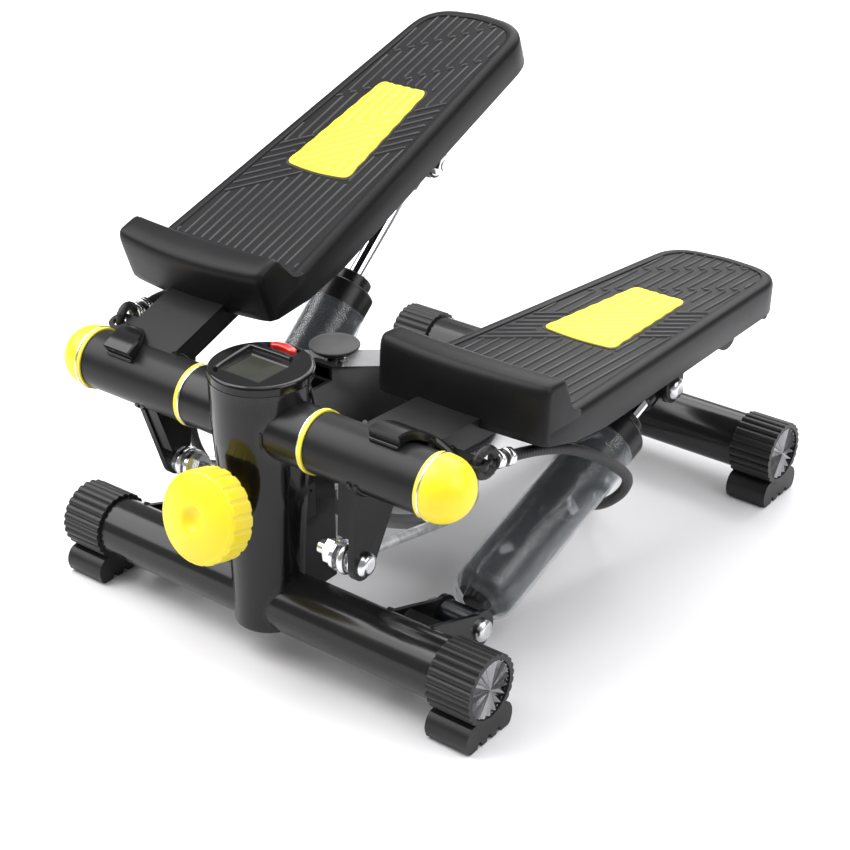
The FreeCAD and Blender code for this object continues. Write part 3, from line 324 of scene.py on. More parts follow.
def tube_rows(path, radius, seg=12, twist=0.0, shape=None):
    """Rings along a list of points, carried without spin."""
    pts = [Vector(p) for p in path]
    rows, up = [], None
    run = 0.0
    for i, p in enumerate(pts):
        a, b = pts[max(0, i - 1)], pts[min(len(pts) - 1, i + 1)]
        t = (b - a).normalized()
        if up is None:
            up = t.orthogonal().normalized()
        up = (up - t * up.dot(t)).normalized()
        w = t.cross(up)
        if i:
            run += (pts[i] - pts[i - 1]).length
        r = radius(run) if callable(radius) else radius
        row = []
        for k in range(seg):
            ang = 2 * math.pi * k / seg + twist * run
            rr = r if shape is None else r * shape(ang - twist * run, run)
            row.append(tuple(p + (up * math.cos(ang) + w * math.sin(ang)) * rr))
        rows.append(row)
    return rows


def resample(points, step):
    pts = [Vector(p) for p in points]
    out, left = [pts[0].copy()], 0.0
    for a, b in zip(pts, pts[1:]):
        d = (b - a).length
        s = step - left
        while s <= d:
            out.append(a.lerp(b, s / d))
            s += step
        left = d - (s - step)
    if (out[-1] - pts[-1]).length > step * 0.3:
        out.append(pts[-1].copy())
    else:
        out[-1] = pts[-1].copy()
    return out


def weld(name, points, r, body, seed=0):
    """A row of overlapping ripples laid along a joint."""
    pts = resample(points, 0.55)
    m = Mesh()
    m.rings(tube_rows(pts, lambda s: r * (0.84 + 0.16 * abs(math.sin(s * 1.6 + seed)) + 0.07 * noise.noise(Vector((s * 0.21, seed, 0.3)))), seg=8))
    return make(name, m.v, m.f, PAINT, body, sharp=50)


def arc_points(cx, cy, r, a0, a1, n):
    return [(cx + r * math.cos(math.radians(a0 + (a1 - a0) * i / n)), cy + r * math.sin(math.radians(a0 + (a1 - a0) * i / n))) for i in range(n + 1)]


# ------------------------------------------------------------------ finishes of the CAD nodes that stay
KEEP = {
    "front_stabilizer": PAINT, "rear_stabilizer": PAINT, "end_caps": CAP, "post_column": PAINT, "post_shell": SHELL, "main_beam": PAINT,
    "fixed_sleeves": SLEEVE, "pivot_axle": ZINC, "axle_nuts": ZINC, "damper_brackets": PAINT, "lower_damper_bolts": ZINC, "monitor_housing": SHELL,
    "lcd_panel": DISPLAY, "step_sensor": CAP, "sensor_wire": RUBBER, "rubber_bumper": RUBBER, "bumper_stud": ZINC,
    "adjuster_knob": YELLOW, "adjuster_screw": ZINC, "pulley_carriage": PAINT, "cable_pulley": GREY, "cable_wrap": ROPE, "reset_button": RED,
}
for tag in ("right", "left"):
    KEEP.update({
        tag + "_swing_tube": SATIN, tag + "_bushes": YELLOW, tag + "_dome_cap": YELLOW, tag + "_pedal_arm": SATIN, tag + "_pedal_screws": ZINC,
        tag + "_arm_bolts": ZINC, tag + "_cable_thimble": ZINC, tag + "_cable_span": ROPE, tag + "_damper_cylinder": DAMPER, tag + "_damper_gland": SLEEVE,
        tag + "_damper_rod": CHROME, tag + "_rod_end": PAINT})
for node_name, mat in KEEP.items():
    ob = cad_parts[node_name]
    if ob.material_slots:
        for s in ob.material_slots:
            s.material = mat
    else:
        ob.data.materials.append(mat)

# ------------------------------------------------------------------ treadles
PF, PR, DH, HF, HR = 56.5, 372.0, 19.8, 59.0, 44.0
SKIRT, RISE = 23.6, 23.8
SLOPE = 0.92                      # the tread pattern's diagonal rows, length over width


def half_at(l):
    return HF + (HR - HF) * (max(l, 95.0) - 95.0) / 255.0


def bez(p, c, q, n):
    return [((1 - t) ** 2 * p[0] + 2 * t * (1 - t) * c[0] + t * t * q[0], (1 - t) ** 2 * p[1] + 2 * t * (1 - t) * c[1] + t * t * q[1]) for t in [i / n for i in range(1, n + 1)]]


def pedal_plan():
    """Outline in (across, along): bowed front, straight sides, large rear corners, slightly bowed rear."""
    bow = lambda u: PF + 330.0 - math.sqrt(330.0 ** 2 - u * u)
    front = [(u, bow(u)) for u in [-51 + 6.0 * i for i in range(18)]]
    right = [(59.0 - 2.2, bow(57) + 0.9), (59.0, bow(59) + 5.5)] + [(59.0, 95.0)] + [(half_at(l), l) for l in (130, 170, 210, 250, 290, 320)]
    yc = PR - 1.15 * 26
    xr = half_at(yc)
    right.append((xr, yc))
    corner = bez((xr, yc), (xr - 1.2, PR - 3.0), (xr - 1.2 * 26, PR - 1.2), 10)
    rear = [(x, PR - 1.2 * (x / (xr - 31.2)) ** 2) for x in (8, 4, 0)]
    half = right + corner + rear
    left = [(-x, y) for x, y in half[::-1][1:]]
    return front + half + left


PLAN = pedal_plan()


def inset(loop, d):
    out = []
    n = len(loop)
    for i in range(n):
        a, b, c = Vector(loop[i - 1]), Vector(loop[i]), Vector(loop[(i + 1) % n])
        e1, e2 = (b - a).normalized(), (c - b).normalized()
        n1, n2 = Vector((-e1.y, e1.x)), Vector((-e2.y, e2.x))
        m = (n1 + n2)
        m.normalize()
        out.append(tuple(b + m * (d / max(0.5, m.dot(n1)))))
    return out


def skirt_low(l):
    return -3.8 + (13.2 * min(1.0, (112.0 - l) / 55.0) if l < 112 else 0.0)


def ridge(m, p, q, w=1.15, h=0.95, z=DH - 1.0, end=0.9):
    """Small rounded rib from p to q on the deck."""
    a, b = Vector(p), Vector(q)
    if (b - a).length < 3.0:
        return
    t = (b - a).normalized()
    s = Vector((-t.y, t.x))
    rows = []
    for dist, k in ((0.0, 0.30), (end, 1.0), ((b - a).length - end, 1.0), ((b - a).length, 0.30)):
        c = a + t * dist
        rows.append([(*(c + s * w * 0.95 * (0.6 + 0.4 * k)), z - 0.2), (*(c + s * w * 0.55), z + h * k * 0.82), (*(c + s * w * 0.18), z + h * k),
                     (*(c - s * w * 0.18), z + h * k), (*(c - s * w * 0.55), z + h * k * 0.82), (*(c - s * w * 0.95 * (0.6 + 0.4 * k)), z - 0.2)])
    m.rings(rows)


INLAY_LOOP = None


def inlay_loop(g=0.0):
    """Grip inlay outline: trapezium, rounded corners, softly bowed front edge, scalloped rear edge and stepped sides."""
    w0, w1, y0, y1 = 25.6 + g, 19.0 + g, 181.0 - g, 280.0 + g
    pts = []
    n = 16
    for i in range(n + 1):
        u = -w0 + 5 + (2 * w0 - 10) * i / n
        pts.append((u, y0 + 0.6 - 2.4 * math.cos(math.pi * 0.5 * u / w0) + 1.6))
    pts += bez((w0 - 5, y0 + 1.6), (w0, y0 + 1.8), (w0 - 0.2, y0 + 8.0), 5)
    for i in range(1, 13):
        l = y0 + 8 + (y1 - y0 - 15) * i / 12
        x = w0 + (w1 - w0) * (l - y0) / (y1 - y0)
        pts.append((x - 0.2 - 0.35 * (1 if i % 2 else -1), l))
    pts += bez((w1 + 0.3, y1 - 7.0), (w1, y1), (w1 - 5, y1 - 0.4), 5)
    n = 20
    for i in range(1, n):
        u = w1 - 5 - (2 * w1 - 10) * i / n
        pts.append((u, y1 - 0.4 - 0.9 * abs(math.sin(math.pi * (u + 3.5) / 7.0)) ** 2))
    pts += [(-x, y) for x, y in bez((w1 + 0.3, y1 - 7.0), (w1, y1), (w1 - 5, y1 - 0.4), 5)[::-1]] + [(-w1 - 0.3, y1 - 7.0)]
    for i in range(11, 0, -1):
        l = y0 + 8 + (y1 - y0 - 15) * i / 12
        x = w0 + (w1 - w0) * (l - y0) / (y1 - y0)
        pts.append((-(x - 0.2 - 0.35 * (1 if i % 2 else -1)), l))
    pts += [(-x, y) for x, y in bez((w0 - 5, y0 + 1.6), (w0, y0 + 1.8), (w0 - 0.2, y0 + 8.0), 5)[::-1]]
    return pts


def in_inlay(u, l, g=1.6):
    if not 181.0 - g <= l <= 280.0 + g:
        return False
    return abs(u) <= 25.6 + (19.0 - 25.6) * (l - 181.0) / 99.0 + g


def in_deck(u, l, margin=9.5):
    if l > PR - margin or l < 95:
        return False
    h = half_at(l) - margin
    if abs(u) > h:
        return False
    yc = PR - 30.0
    if l > yc:
        cx, r = half_at(yc) - 30.0, 30.0 - margin
        if abs(u) > cx and (abs(u) - cx) ** 2 + (l - yc) ** 2 > (r + 0.5) ** 2:
            return False
    return True


def runs(test, start, direction, length, step=0.5):
    """Stretches along a line where test holds."""
    out, on, prev = [], None, None
    n = int(length / step)
    for i in range(n + 1):
        p = (start[0] + direction[0] * i * step, start[1] + direction[1] * i * step)
        ok = test(*p)
        if ok and on is None:
            on = p
        if not ok and on is not None:
            out.append((on, prev))
            on = None
        prev = p
    if on is not None:
        out.append((on, prev))
    return out


LOW_ROW, UP_ROW, B_ROW, A_ROW = 186.0, 237.5, 292.0, 343.0
DIAG = Vector((1.0, SLOPE)).normalized()


def long_zone(u, l):
    """Where the long ribs run: outside the diagonal band, with a gap at each broken row."""
    d = l - SLOPE * u
    if LOW_ROW - 2.5 < d < UP_ROW + 2.5:
        return False
    return not (abs(d - B_ROW) < 3.2 or abs(d - A_ROW) < 3.2)


def tread(inside, z, w=1.15, h=0.95):
    m = Mesh()
    for k in range(-8, 9):
        u = 7.0 * k
        for a, b in runs(lambda x, y: inside(x, y) and long_zone(x, y), (u, 96.0), (0, 1), 280):
            ridge(m, a, b, w, h, z)
    for k in range(1, 6):
        base = LOW_ROW + (UP_ROW - LOW_ROW) * k / 6.0
        for a, b in runs(inside, (-60, base - 60 * SLOPE), (DIAG.x, DIAG.y), 180):
            ridge(m, a, b, w, h, z)
    # the two rows that bound the band are a little taller
    for base in (LOW_ROW, UP_ROW):
        for a, b in runs(inside, (-60, base - 60 * SLOPE), (DIAG.x, DIAG.y), 180):
            ridge(m, a, b, w * 0.9, h * 1.1, z)
    # small nibs at the broken rows
    for base in (B_ROW, A_ROW):
        for k in range(-8, 9):
            for du in (0.0,):
                u = 7.0 * k + 3.5
                l = base + SLOPE * u
                if inside(u, l) and inside(u - 1.4, l - 1.4):
                    ridge(m, (u - 1.7, l - 1.5), (u + 1.7, l + 1.5), w, h, z, end=0.8)
    return m


for tag in ("right", "left"):
    side, body = SIDE[tag], tag + "_arm"
    M = swing(tag) @ Matrix.Translation(V3(side * PEDAL_MID, 0, 0))
    m = Mesh()
    rows = []
    # inside of the skirt, lower edge, outside, rounded shoulder, rim, step down to the deck
    low = lambda l: skirt_low(l)
    for d, z in ((3.0, "deck"), (3.0, "low+"), (2.4, "low"), (0.5, "low"), (0.0, "low2"), (0.0, DH - 5.0), (0.35, DH - 3.2), (1.3, DH - 1.5), (2.6, DH - 0.5), (4.2, DH),
                 (7.6, DH), (8.2, DH - 0.25), (8.6, DH - 1.0)):
        loop = inset(PLAN, d)
        row = []
        for (x, y), (x0, y0) in zip(loop, PLAN):
            zz = {"deck": DH - 4.2, "low+": low(y0) + 0.6, "low": low(y0), "low2": low(y0) + 0.7}.get(z, z) if isinstance(z, str) else z
            row.append((x, y, zz))
        rows.append(row)
    m.rings(rows)
    shell = make(tag + "_treadle_shell", m.v, m.f, TREADLE, body, M, sharp=38)
    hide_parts(tag + "_pedal")
    # toe stop: one profile carried across, bowed in plan, its ends rounded over
    prof = [(PF + 0.2, 9.6), (PF, 14.0), (PF, DH + 8), (PF + 0.2, DH + RISE - 6.5), (PF + 1.0, DH + RISE - 3.2), (PF + 2.8, DH + RISE - 1.0), (PF + 5.4, DH + RISE), (PF + 12, DH + RISE + 0.1),
            (PF + 19.0, DH + RISE - 0.1), (PF + 21.2, DH + RISE - 0.7), (PF + 22.8, DH + RISE - 2.2), (PF + 24.0, DH + RISE - 5.0), (PF + 25.4, DH + RISE - 9.5), (PF + 27.2, DH + 9.2),
            (PF + 29.6, DH + 5.0), (PF + 32.8, DH + 2.1), (PF + 36.6, DH + 0.5), (PF + 41.0, DH - 0.6), (PF + 41.0, DH - 4.0), (PF + 20, 9.6)]
    m = Mesh()
    rows = []
    cen = (PF + 14.0, DH + 6.0)
    for u, k, sq in [(-58.95, 0.0, 4.2), (-58.7, 0, 2.4), (-58.0, 0, 1.2), (-56.6, 0, 0.35), (-54.6, 0, 0.0)] + [(-50 + 10.0 * i, 0, 0) for i in range(11)] + [(54.6, 0, 0.0), (56.6, 0, 0.35), (58.0, 0, 1.2), (58.7, 0, 2.4), (58.95, 0, 4.2)]:
        bow = 330.0 - math.sqrt(330.0 ** 2 - u * u)
        row = []
        for l, z in prof:
            share = max(0.0, min(1.0, (PF + 41.0 - l) / 41.0))
            l2 = l + bow * share
            # round the ends over at the front and the top only
            if sq:
                if l < PF + 6:
                    l2 += sq * (1.0 - (l - PF) / 8.0)
                if z > DH + 12:
                    z2 = z - sq * 0.9 * min(1.0, (z - DH - 12) / 8.0)
                else:
                    z2 = z
            else:
                z2 = z
            row.append((u, l2, z2))
        rows.append(row)
    m.rings(rows)
    make(tag + "_toe_stop", m.v, m.f, TREADLE, body, M, sharp=42)
    # tread ribs on the black deck
    deck_ok = lambda u, l: in_deck(u, l) and not in_inlay(u, l, 2.4) and l > 99.0
    t = tread(deck_ok, DH - 1.0)
    make(tag + "_tread_ribs", t.v, t.f, TREADLE_RIB_LIT, body, M, sharp=35)
    # grip inlay with its own ribs and a dark gap round it
    m = Mesh()
    outer, inner = inlay_loop(0.0), inlay_loop(-1.4)
    m.rings([[(x, y, DH - 1.6) for x, y in outer], [(x, y, DH - 0.1) for x, y in outer], [(x, y, DH + 0.30) for x, y in inlay_loop(-0.5)], [(x, y, DH + 0.38) for x, y in inner]])
    r = tread(lambda u, l: in_inlay(u, l, -3.0), DH + 0.36, w=1.7, h=0.55)
    m.add(r.v, r.f)
    inl = make(tag + "_grip_inlay", m.v, m.f, INLAY, body, M, sharp=30)
    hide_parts(tag + "_pedal_inlay")
    m = Mesh()
    m.rings([[(x, y, DH - 1.5) for x, y in inlay_loop(1.5)], [(x, y, DH - 0.75) for x, y in inlay_loop(1.4)], [(x, y, DH - 0.72) for x, y in inlay_loop(0.2)]])
    make(tag + "_inlay_gap", m.v, m.f, DARKLINE, body, M, sharp=30)
    # stiffening webs under the deck
    m = Mesh()

    def web(x0, x1, y0, y1, z0, z1):
        m.add([(x0, y0, z0), (x1, y0, z0), (x1, y1, z0), (x0, y1, z0), (x0 + 0.3, y0 + 0.3, z1), (x1 - 0.3, y0 + 0.3, z1), (x1 - 0.3, y1 - 0.3, z1), (x0 + 0.3, y1 - 0.3, z1)][0:8],
              [[0, 3, 2, 1], [4, 5, 6, 7], [0, 1, 5, 4], [1, 2, 6, 5], [2, 3, 7, 6], [3, 0, 4, 7]])

    for l in (325.0, 345.0):
        h = half_at(l) - 4
        web(-h, h, l - 1.0, l + 1.0, 15.8, 2.0)
    for u in (-34.0, 34.0):
        web(u - 1, u + 1, 110, 330, 15.8, 4.0)
    for l in (140.0, 190.0, 240.0, 300.0):
        h = half_at(l) - 4
        web(-h, -27.0, l - 0.9, l + 0.9, 15.8, 3.0)
        web(27.0, h, l - 0.9, l + 0.9, 15.8, 3.0)
    web(-30, 30, 307, 309, 15.8, 2.0)
    # half-round tab and small peg under the outer edge
    xo = half_at(290) - 1.6
    rr = []
    for i in range(13):
        a = math.pi * i / 12
        rr.append((290 + 9.5 * math.cos(a), -3.4 - 6.0 * math.sin(a)))
    m.rings([[(side * (xo - 5.0), y, z) for y, z in rr], [(side * (xo - 4.6), y, z - 0.0) for y, z in rr], [(side * xo, y, z) for y, z in rr]])
    turned([(3.2, -2.0), (3.2, -7.2), (2.6, -8.4), (0.6, -8.9)], Matrix.Translation(V3(side * (half_at(352) - 6.0), 352.0, 0)), 20, into=m)
    make(tag + "_treadle_webs", m.v, m.f, TREADLE, body, M, sharp=30)
    # weld beads: arm to swing tube, lever to swing tube, eye plate to arm, clevis to arm
    S = swing(tag)
    for x in (70.0, 114.0):
        pts = [S @ V3(side * (x + (0.4 if x > 90 else -0.4)), 18.35 * math.cos(math.radians(a)), 18.35 * math.sin(math.radians(a))) for a in range(0, 60, 4)]
        weld("%s_arm_bead_%d" % (tag, int(x)), pts, 1.9, body, x)
    for x in (80.6, 85.4):
        pts = [S @ V3(side * x, 18.4 * math.cos(math.radians(a)), 18.4 * math.sin(math.radians(a))) for a in range(205, 340, 5)]
        weld("%s_lever_bead_%d" % (tag, int(x * 10)), pts, 1.5, body, x)
    weld(tag + "_eye_plate_bead", [S @ V3(side * 114.2, 20.5 + i, 6.2) for i in range(14)], 1.4, body, 3)
    weld(tag + "_clevis_bead_a", [S @ V3(side * (98.5 - 13.2), 266 + i, -1.4) for i in range(31)], 1.3, body, 5)
    weld(tag + "_clevis_bead_b", [S @ V3(side * (98.5 + 13.2), 266 + i, -1.4) for i in range(31)], 1.3, body, 6)

# ------------------------------------------------------------------ end cap discs: pressed sunburst
SEATS = [(1, 0.0, 163.0), (-1, 0.0, 157.0), (1, 342.0, 161.0), (-1, 342.0, 163.0)]
m = Mesh()
for side, y, out in SEATS:
    P = place(side * (out - 2.5), y + SH, 34.0, ("Y", 90 * side))
    seg, petals = 120, 20

    def burst(a, r, z):
        if z < 1.0 or r < 0.6:
            return r, z
        k = (a * petals / (2 * math.pi)) % 1.0
        fold = abs(k - 0.5) * 2 - 0.5
        return r, z + fold * 1.7 * min(1.0, r / 15.0)

    turned([(18.0, 0.0), (18.0, 0.9), (17.4, 1.2), (15.6, 1.2), (12.0, 1.35), (8.0, 1.5), (4.0, 1.7), (2.2, 1.8), (0.5, 1.9)], P, seg, burst, m)
discs = make("faceted_discs", m.v, m.f, DISC, "frame", sharp=14)
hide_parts("end_cap_discs")

# ------------------------------------------------------------------ clear film round the dampers
LYY, LZZ, DM = 58.2 + SH, 23.2, 98.5
ANG = {"right": 18.705, "left": 40.242}
for tag in ("right", "left"):
    side = SIDE[tag]
    L = place(side * DM, LYY, LZZ, ("X", ANG[tag] - 90))
    m = Mesh()
    rows = []
    seg = 72

    def wavy(a, z, base):
        pleat = max(0.0, (30.0 - z) / 14.0) * 0.8 * math.sin(11 * a + 2.0 * noise.noise(Vector((a, z * 0.2, 1.0))))
        return base + pleat + 0.9 * noise.noise(Vector((math.cos(a) * 1.6, math.sin(a) * 1.6, z * 0.03 + side))) + 0.35 * noise.noise(Vector((math.cos(a) * 5, math.sin(a) * 5, z * 0.11)))

    zs = [15.5, 17.0, 18.6, 20.2, 21.8, 23.4, 25.0, 27.0] + [29.5 + i * 133.5 / 46 for i in range(47)]

    def girth(z):
        """Gathered round the lower eye, then loose along the cylinder."""
        if z < 28:
            return 14.2 + 6.2 * math.sin(math.pi / 2 * (z - 15.5) / 12.5)
        return 20.5

    for z in zs:
        grow = girth(z)
        rows.append([(wavy(2 * math.pi * k / seg, z, grow) * math.cos(2 * math.pi * k / seg), wavy(2 * math.pi * k / seg, z, grow) * math.sin(2 * math.pi * k / seg), z) for k in range(seg)])
    for z in zs[::-1]:
        grow = girth(z) - 0.12
        rows.append([(wavy(2 * math.pi * k / seg, z, grow) * math.cos(2 * math.pi * k / seg), wavy(2 * math.pi * k / seg, z, grow) * math.sin(2 * math.pi * k / seg), z) for k in range(seg)])
    m.rings(rows, close=True)
    make(tag + "_damper_film", m.v, m.f, FILM, tag + "_damper", L, sharp=60)

# ------------------------------------------------------------------ exercise cords
RIGHT_ROUTE = [(137.87, 49.89, 152.52), (141.0, 72.0, 148.5), (145.0, 98.0, 139.0), (147.5, 126.0, 122.0), (147.0, 152.0, 102.0), (140.0, 175.0, 82.0),
               (126.0, 191.0, 60.0), (107.0, 204.0, 40.0), (86.0, 220.0, 23.0), (68.0, 240.0, 9.5), (54.0, 265.0, 3.9), (32.0, 289.0, 3.5), (1.0, 304.0, 3.5), (-32.0, 311.5, 3.5), (-58.0, 317.0, 3.5)]
LEFT_ROUTE = [(-138.6, 47.0, 168.4), (-142.0, 67.0, 169.0), (-146.5, 88.0, 157.0), (-149.5, 96.0, 134.0), (-150.5, 93.0, 104.0), (-151.0, 89.5, 73.0),
              (-152.0, 94.0, 44.0), (-153.5, 108.5, 20.0), (-156.0, 131.0, 6.1), (-158.0, 152.0, 3.6)]
RIGHT_TAIL = [(-75.5, 236.6, 10.4), (-66.5, 229.5, 8.6), (-60.0, 218.5, 10.6), (-58.5, 209.0, 12.0)]
LEFT_TAIL = [(-159.2, 187.0, 10.6), (-156.6, 204.0, 8.6), (-149.0, 219.0, 10.8), (-146.0, 232.0, 12.0)]


def coil(cx, cy, start, hand, turns):
    """Turns lying beside and on each other: outer turn, inner turn, then up on top of both."""
    pts = []
    n = int(turns * 16)
    for i in range(1, n):
        f = 22.5 * i
        if f <= 310:
            r, z = 42.5, 3.5
        elif f <= 360:
            r, z = 42.5 - 7.5 * (f - 310) / 50, 3.5
        elif f <= 600:
            r, z = 35.0, 3.5
        elif f <= 670:
            r, z = 35.0, 3.5 + 7.1 * (f - 600) / 70
        elif f <= 720:
            r, z = 35.0, 10.6
        elif f <= 780:
            r, z = 35.0 + 3.6 * (f - 720) / 60, 10.6
        elif f <= 900:
            r, z = 38.6, 10.6
        elif f <= 960:
            r, z = 38.6 + 3.9 * (f - 900) / 60, 10.6
        else:
            r, z = 42.5, 10.6
        a = math.radians(start + hand * f)
        pts.append((cx + r * math.cos(a), cy + r * math.sin(a), z))
    return pts


def route_curve(name, pts):
    cu = bpy.data.curves.new(name, "CURVE")
    cu.dimensions = "3D"
    sp = cu.splines.new("NURBS")
    sp.points.add(len(pts) - 1)
    for k, (x, y, z) in enumerate(pts):
        sp.points[k].co = (x * MM, (y + SH) * MM, z * MM, 1.0)
    sp.order_u = 3
    sp.use_endpoint_u = True
    sp.resolution_u = 10
    return cu


def line_of(cu):
    """The route's own spline as points, in millimetres."""
    tmp = bpy.data.objects.new("route_line", cu)
    bpy.context.collection.objects.link(tmp)
    bpy.context.view_layer.update()
    me = bpy.data.meshes.new_from_object(tmp)
    pts = [Vector(v.co) * 1000.0 for v in me.vertices]
    bpy.data.objects.remove(tmp)
    bpy.data.meshes.remove(me)
    return pts


HANDLE = {"right": ((-58.5, 209.0), -90.0), "left": ((-146.0, 232.0), 90.0)}
COIL = {"right": (-86.0, 276.0, 90.0, 1, 2.5), "left": (-117.0, 175.0, 180.0, -1, 3.0)}
for tag, route, tail in (("right", RIGHT_ROUTE, RIGHT_TAIL), ("left", LEFT_ROUTE, LEFT_TAIL)):
    side = SIDE[tag]
    S = swing(tag)
    pts = line_of(route_curve(tag + "_route", route + coil(*COIL[tag]) + tail))
    fine = resample(pts, 0.8)
    m = Mesh()
    # close ring ribs round the cover
    m.rings(tube_rows(fine, lambda s: 3.5 - 0.28 * (0.5 + 0.5 * math.cos(2 * math.pi * s / 2.4)) ** 2, seg=12))
    cord = make(tag + "_exercise_cord", m.v, m.f, CORDSKIN, None, sharp=60)
    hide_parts(tag + "_cord", tag + "_cord_coil")
    # grip handle: foam barrel between two collars
    (hx, hy), turn = HANDLE[tag]
    H = place(hx, hy + SH, 12.0, ("Z", turn), ("Y", 90))
    prof = [(0.4, 0.0), (5.3, 0.0), (6.0, 0.7), (6.0, 4.6), (8.0, 7.0), (10.6, 10.0), (11.6, 12.2)]
    z = 13.0
    while z < 66.0:
        prof += [(11.85, z), (11.85, z + 2.4), (11.2, z + 3.0), (11.2, z + 3.5)]
        z += 4.4
    prof += [(11.85, 67.5), (11.4, 70.5), (10.0, 74.5), (7.4, 77.6), (4.0, 78.5), (0.4, 78.6)]
    hm = turned(prof, H, 48)
    handle = make(tag + "_grip_handle", hm.v, hm.f, RUBBER, "frame", sharp=40)
    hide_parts(tag + "_cord_handle")
    # the cord's loop through the plate, held by two crimped sleeves; it swings with the arm
    hole = S @ V3(side * 134.0, 27.0, 4.5)
    aim = (Vector((route[1][0], route[1][1] + SH, route[1][2])) - hole).normalized()
    across = V3(1, 0, 0).cross(aim).normalized()
    lat = aim.cross(across).normalized()
    # eye loop in the plane of aim and across, open towards the cord
    loop = []
    for i in range(41):
        a = math.radians(-152 + 304 * i / 40)
        loop.append(hole + aim * (7.4 - 7.4 * math.cos(a)) + across * 7.4 * math.sin(a))
    back = [loop[-1] + (hole + aim * 16.5 + across * 1.9 - loop[-1]) * (j / 6) for j in range(1, 7)]
    fore = [loop[0] + (hole + aim * 16.5 - across * 1.9 - loop[0]) * (j / 6) for j in range(6, 0, -1)]
    m = Mesh()
    m.rings(tube_rows(resample(fore + loop + back, 0.8), lambda s: 2.9 - 0.2 * (0.5 + 0.5 * math.cos(2 * math.pi * s / 2.4)) ** 2, seg=12))
    m.rings(tube_rows(resample([hole + aim * 14.0, hole + aim * 29.0], 0.8), lambda s: 4.0 - 0.25 * (0.5 + 0.5 * math.cos(2 * math.pi * s / 2.4)) ** 2, seg=16))
    eye = make(tag + "_cord_loop", m.v, m.f, CORDSKIN, tag + "_arm", sharp=60)
    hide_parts(tag + "_cord_eye")
    m = Mesh()
    for d0 in (14.2, 22.6):
        base = hole + aim * d0
        q = aim.to_track_quat("Z", "Y").to_matrix().to_4x4()
        turned([(3.8, 0.0), (5.0, 0.0), (5.5, 0.5), (5.55, 2.0), (5.3, 2.5), (5.55, 3.0), (5.5, 4.6), (5.0, 5.1), (3.8, 5.1)], Matrix.Translation(base) @ q, 40, lambda a, r, z: (r * (1 - 0.03 * abs(math.cos(3 * a))), z), m)
    make(tag + "_cord_crimps", m.v, m.f, ZINC, tag + "_arm", sharp=35)
    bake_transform(cord)

# ------------------------------------------------------------------ bent lug over the tube, down to the eye plate
for tag in ("right", "left"):
    side = SIDE[tag]
    S = swing(tag)
    line = [(cx, w, 22.8 * math.cos(math.radians(th)), 22.8 * math.sin(math.radians(th)))
            for cx, w, th in ((97, 21, 108), (97, 21, 98), (98, 21, 84), (101, 20, 68), (106, 18.5, 50), (113, 16, 32), (120, 14, 17), (123, 13, 10))]
    for _ in range(2):
        cut = [line[0]]
        for p, q in zip(line, line[1:]):
            cut += [tuple(0.75 * u + 0.25 * v for u, v in zip(p, q)), tuple(0.25 * u + 0.75 * v for u, v in zip(p, q))]
        line = cut + [line[-1]]
    rows = []
    for i, (cx, w, y, z) in enumerate(line):
        a, b = line[max(0, i - 1)], line[min(len(line) - 1, i + 1)]
        ty, tz = b[2] - a[2], b[3] - a[3]
        n = math.hypot(ty, tz)
        ny, nz = -tz / n, ty / n
        h, t, c = w / 2, 3.5 - 1.3 * i / (len(line) - 1), 0.9
        rows.append([(side * (cx + u), y + ny * v, z + nz * v) for u, v in ((-h + c, -t), (h - c, -t), (h, -t + c), (h, t - c), (h - c, t), (-h + c, t), (-h, t - c), (-h, -t + c))])
    m = Mesh()
    m.rings(rows, S)
    make(tag + "_eye_lug", m.v, m.f, PAINT, tag + "_arm", sharp=40)
    weld(tag + "_eye_lug_bead", [S @ V3(side * (87.2 + 19.6 * i / 20), -6.9, 18.0) for i in range(21)], 1.3, tag + "_arm", 12 + side)

# ------------------------------------------------------------------ plated washers beside the yellow bushes and domes
for tag in ("right", "left"):
    side = SIDE[tag]
    S = swing(tag)
    m = Mesh()
    for x, r in ((129.05, 19.75), (45.25, 19.15)):
        turned([(16.6, -0.55), (r - 0.3, -0.55), (r, -0.25), (r, 0.25), (r - 0.3, 0.55), (16.6, 0.55)], S @ place(side * x, 0, 0, ("Y", 90 * side)), 72, None, m)
    make(tag + "_plated_washers", m.v, m.f, ZINC, tag + "_arm", sharp=40)

# ------------------------------------------------------------------ twisted wire rope from lever to lever, round the pulley
PULLEY = V3(0, -18.4, 48.0)


def strand(points):
    m = Mesh()
    m.rings(tube_rows(points, 3.45, seg=48, twist=0.42, shape=lambda ang, run: 0.90 + 0.10 * abs(math.cos(4 * ang))))
    return m


ends = {}
for tag, pin, tan_pt in (("right", (73.7, -165.62, 93.76), (41.73, -9.84, 48.0)), ("left", (-73.7, -141.75, 94.67), (-41.40, -8.37, 48.0))):
    a, b = Vector(pin), Vector(tan_pt)
    lev = Vector((a.x - b.x, a.y - b.y, 0)).normalized()
    knee = b + lev * 26.0
    u = (knee - a).normalized()
    s0 = a + u * 11.0
    line = [b] + [(1 - t) ** 2 * (b + lev * 14.0) + 2 * t * (1 - t) * knee + t * t * (knee + (s0 - knee).normalized() * 14.0) for t in [i / 8 for i in range(9)]] + [s0]
    line = resample(line, 0.9)
    # the part beside the pulley stays with its carriage; the rest stretches between the lever and the frame
    ends[tag] = line[:33]
    m = strand(line[27:])
    rope = make(tag + "_twisted_rope", m.v, m.f, ROPE, None, sharp=50)
    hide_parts(tag + "_cable_span")
    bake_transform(rope)
first, last = ends["right"][0] - PULLEY, ends["left"][0] - PULLEY
a0, a1, r0, r1 = math.atan2(first.y, first.x), math.atan2(last.y, last.x), first.xy.length, last.xy.length
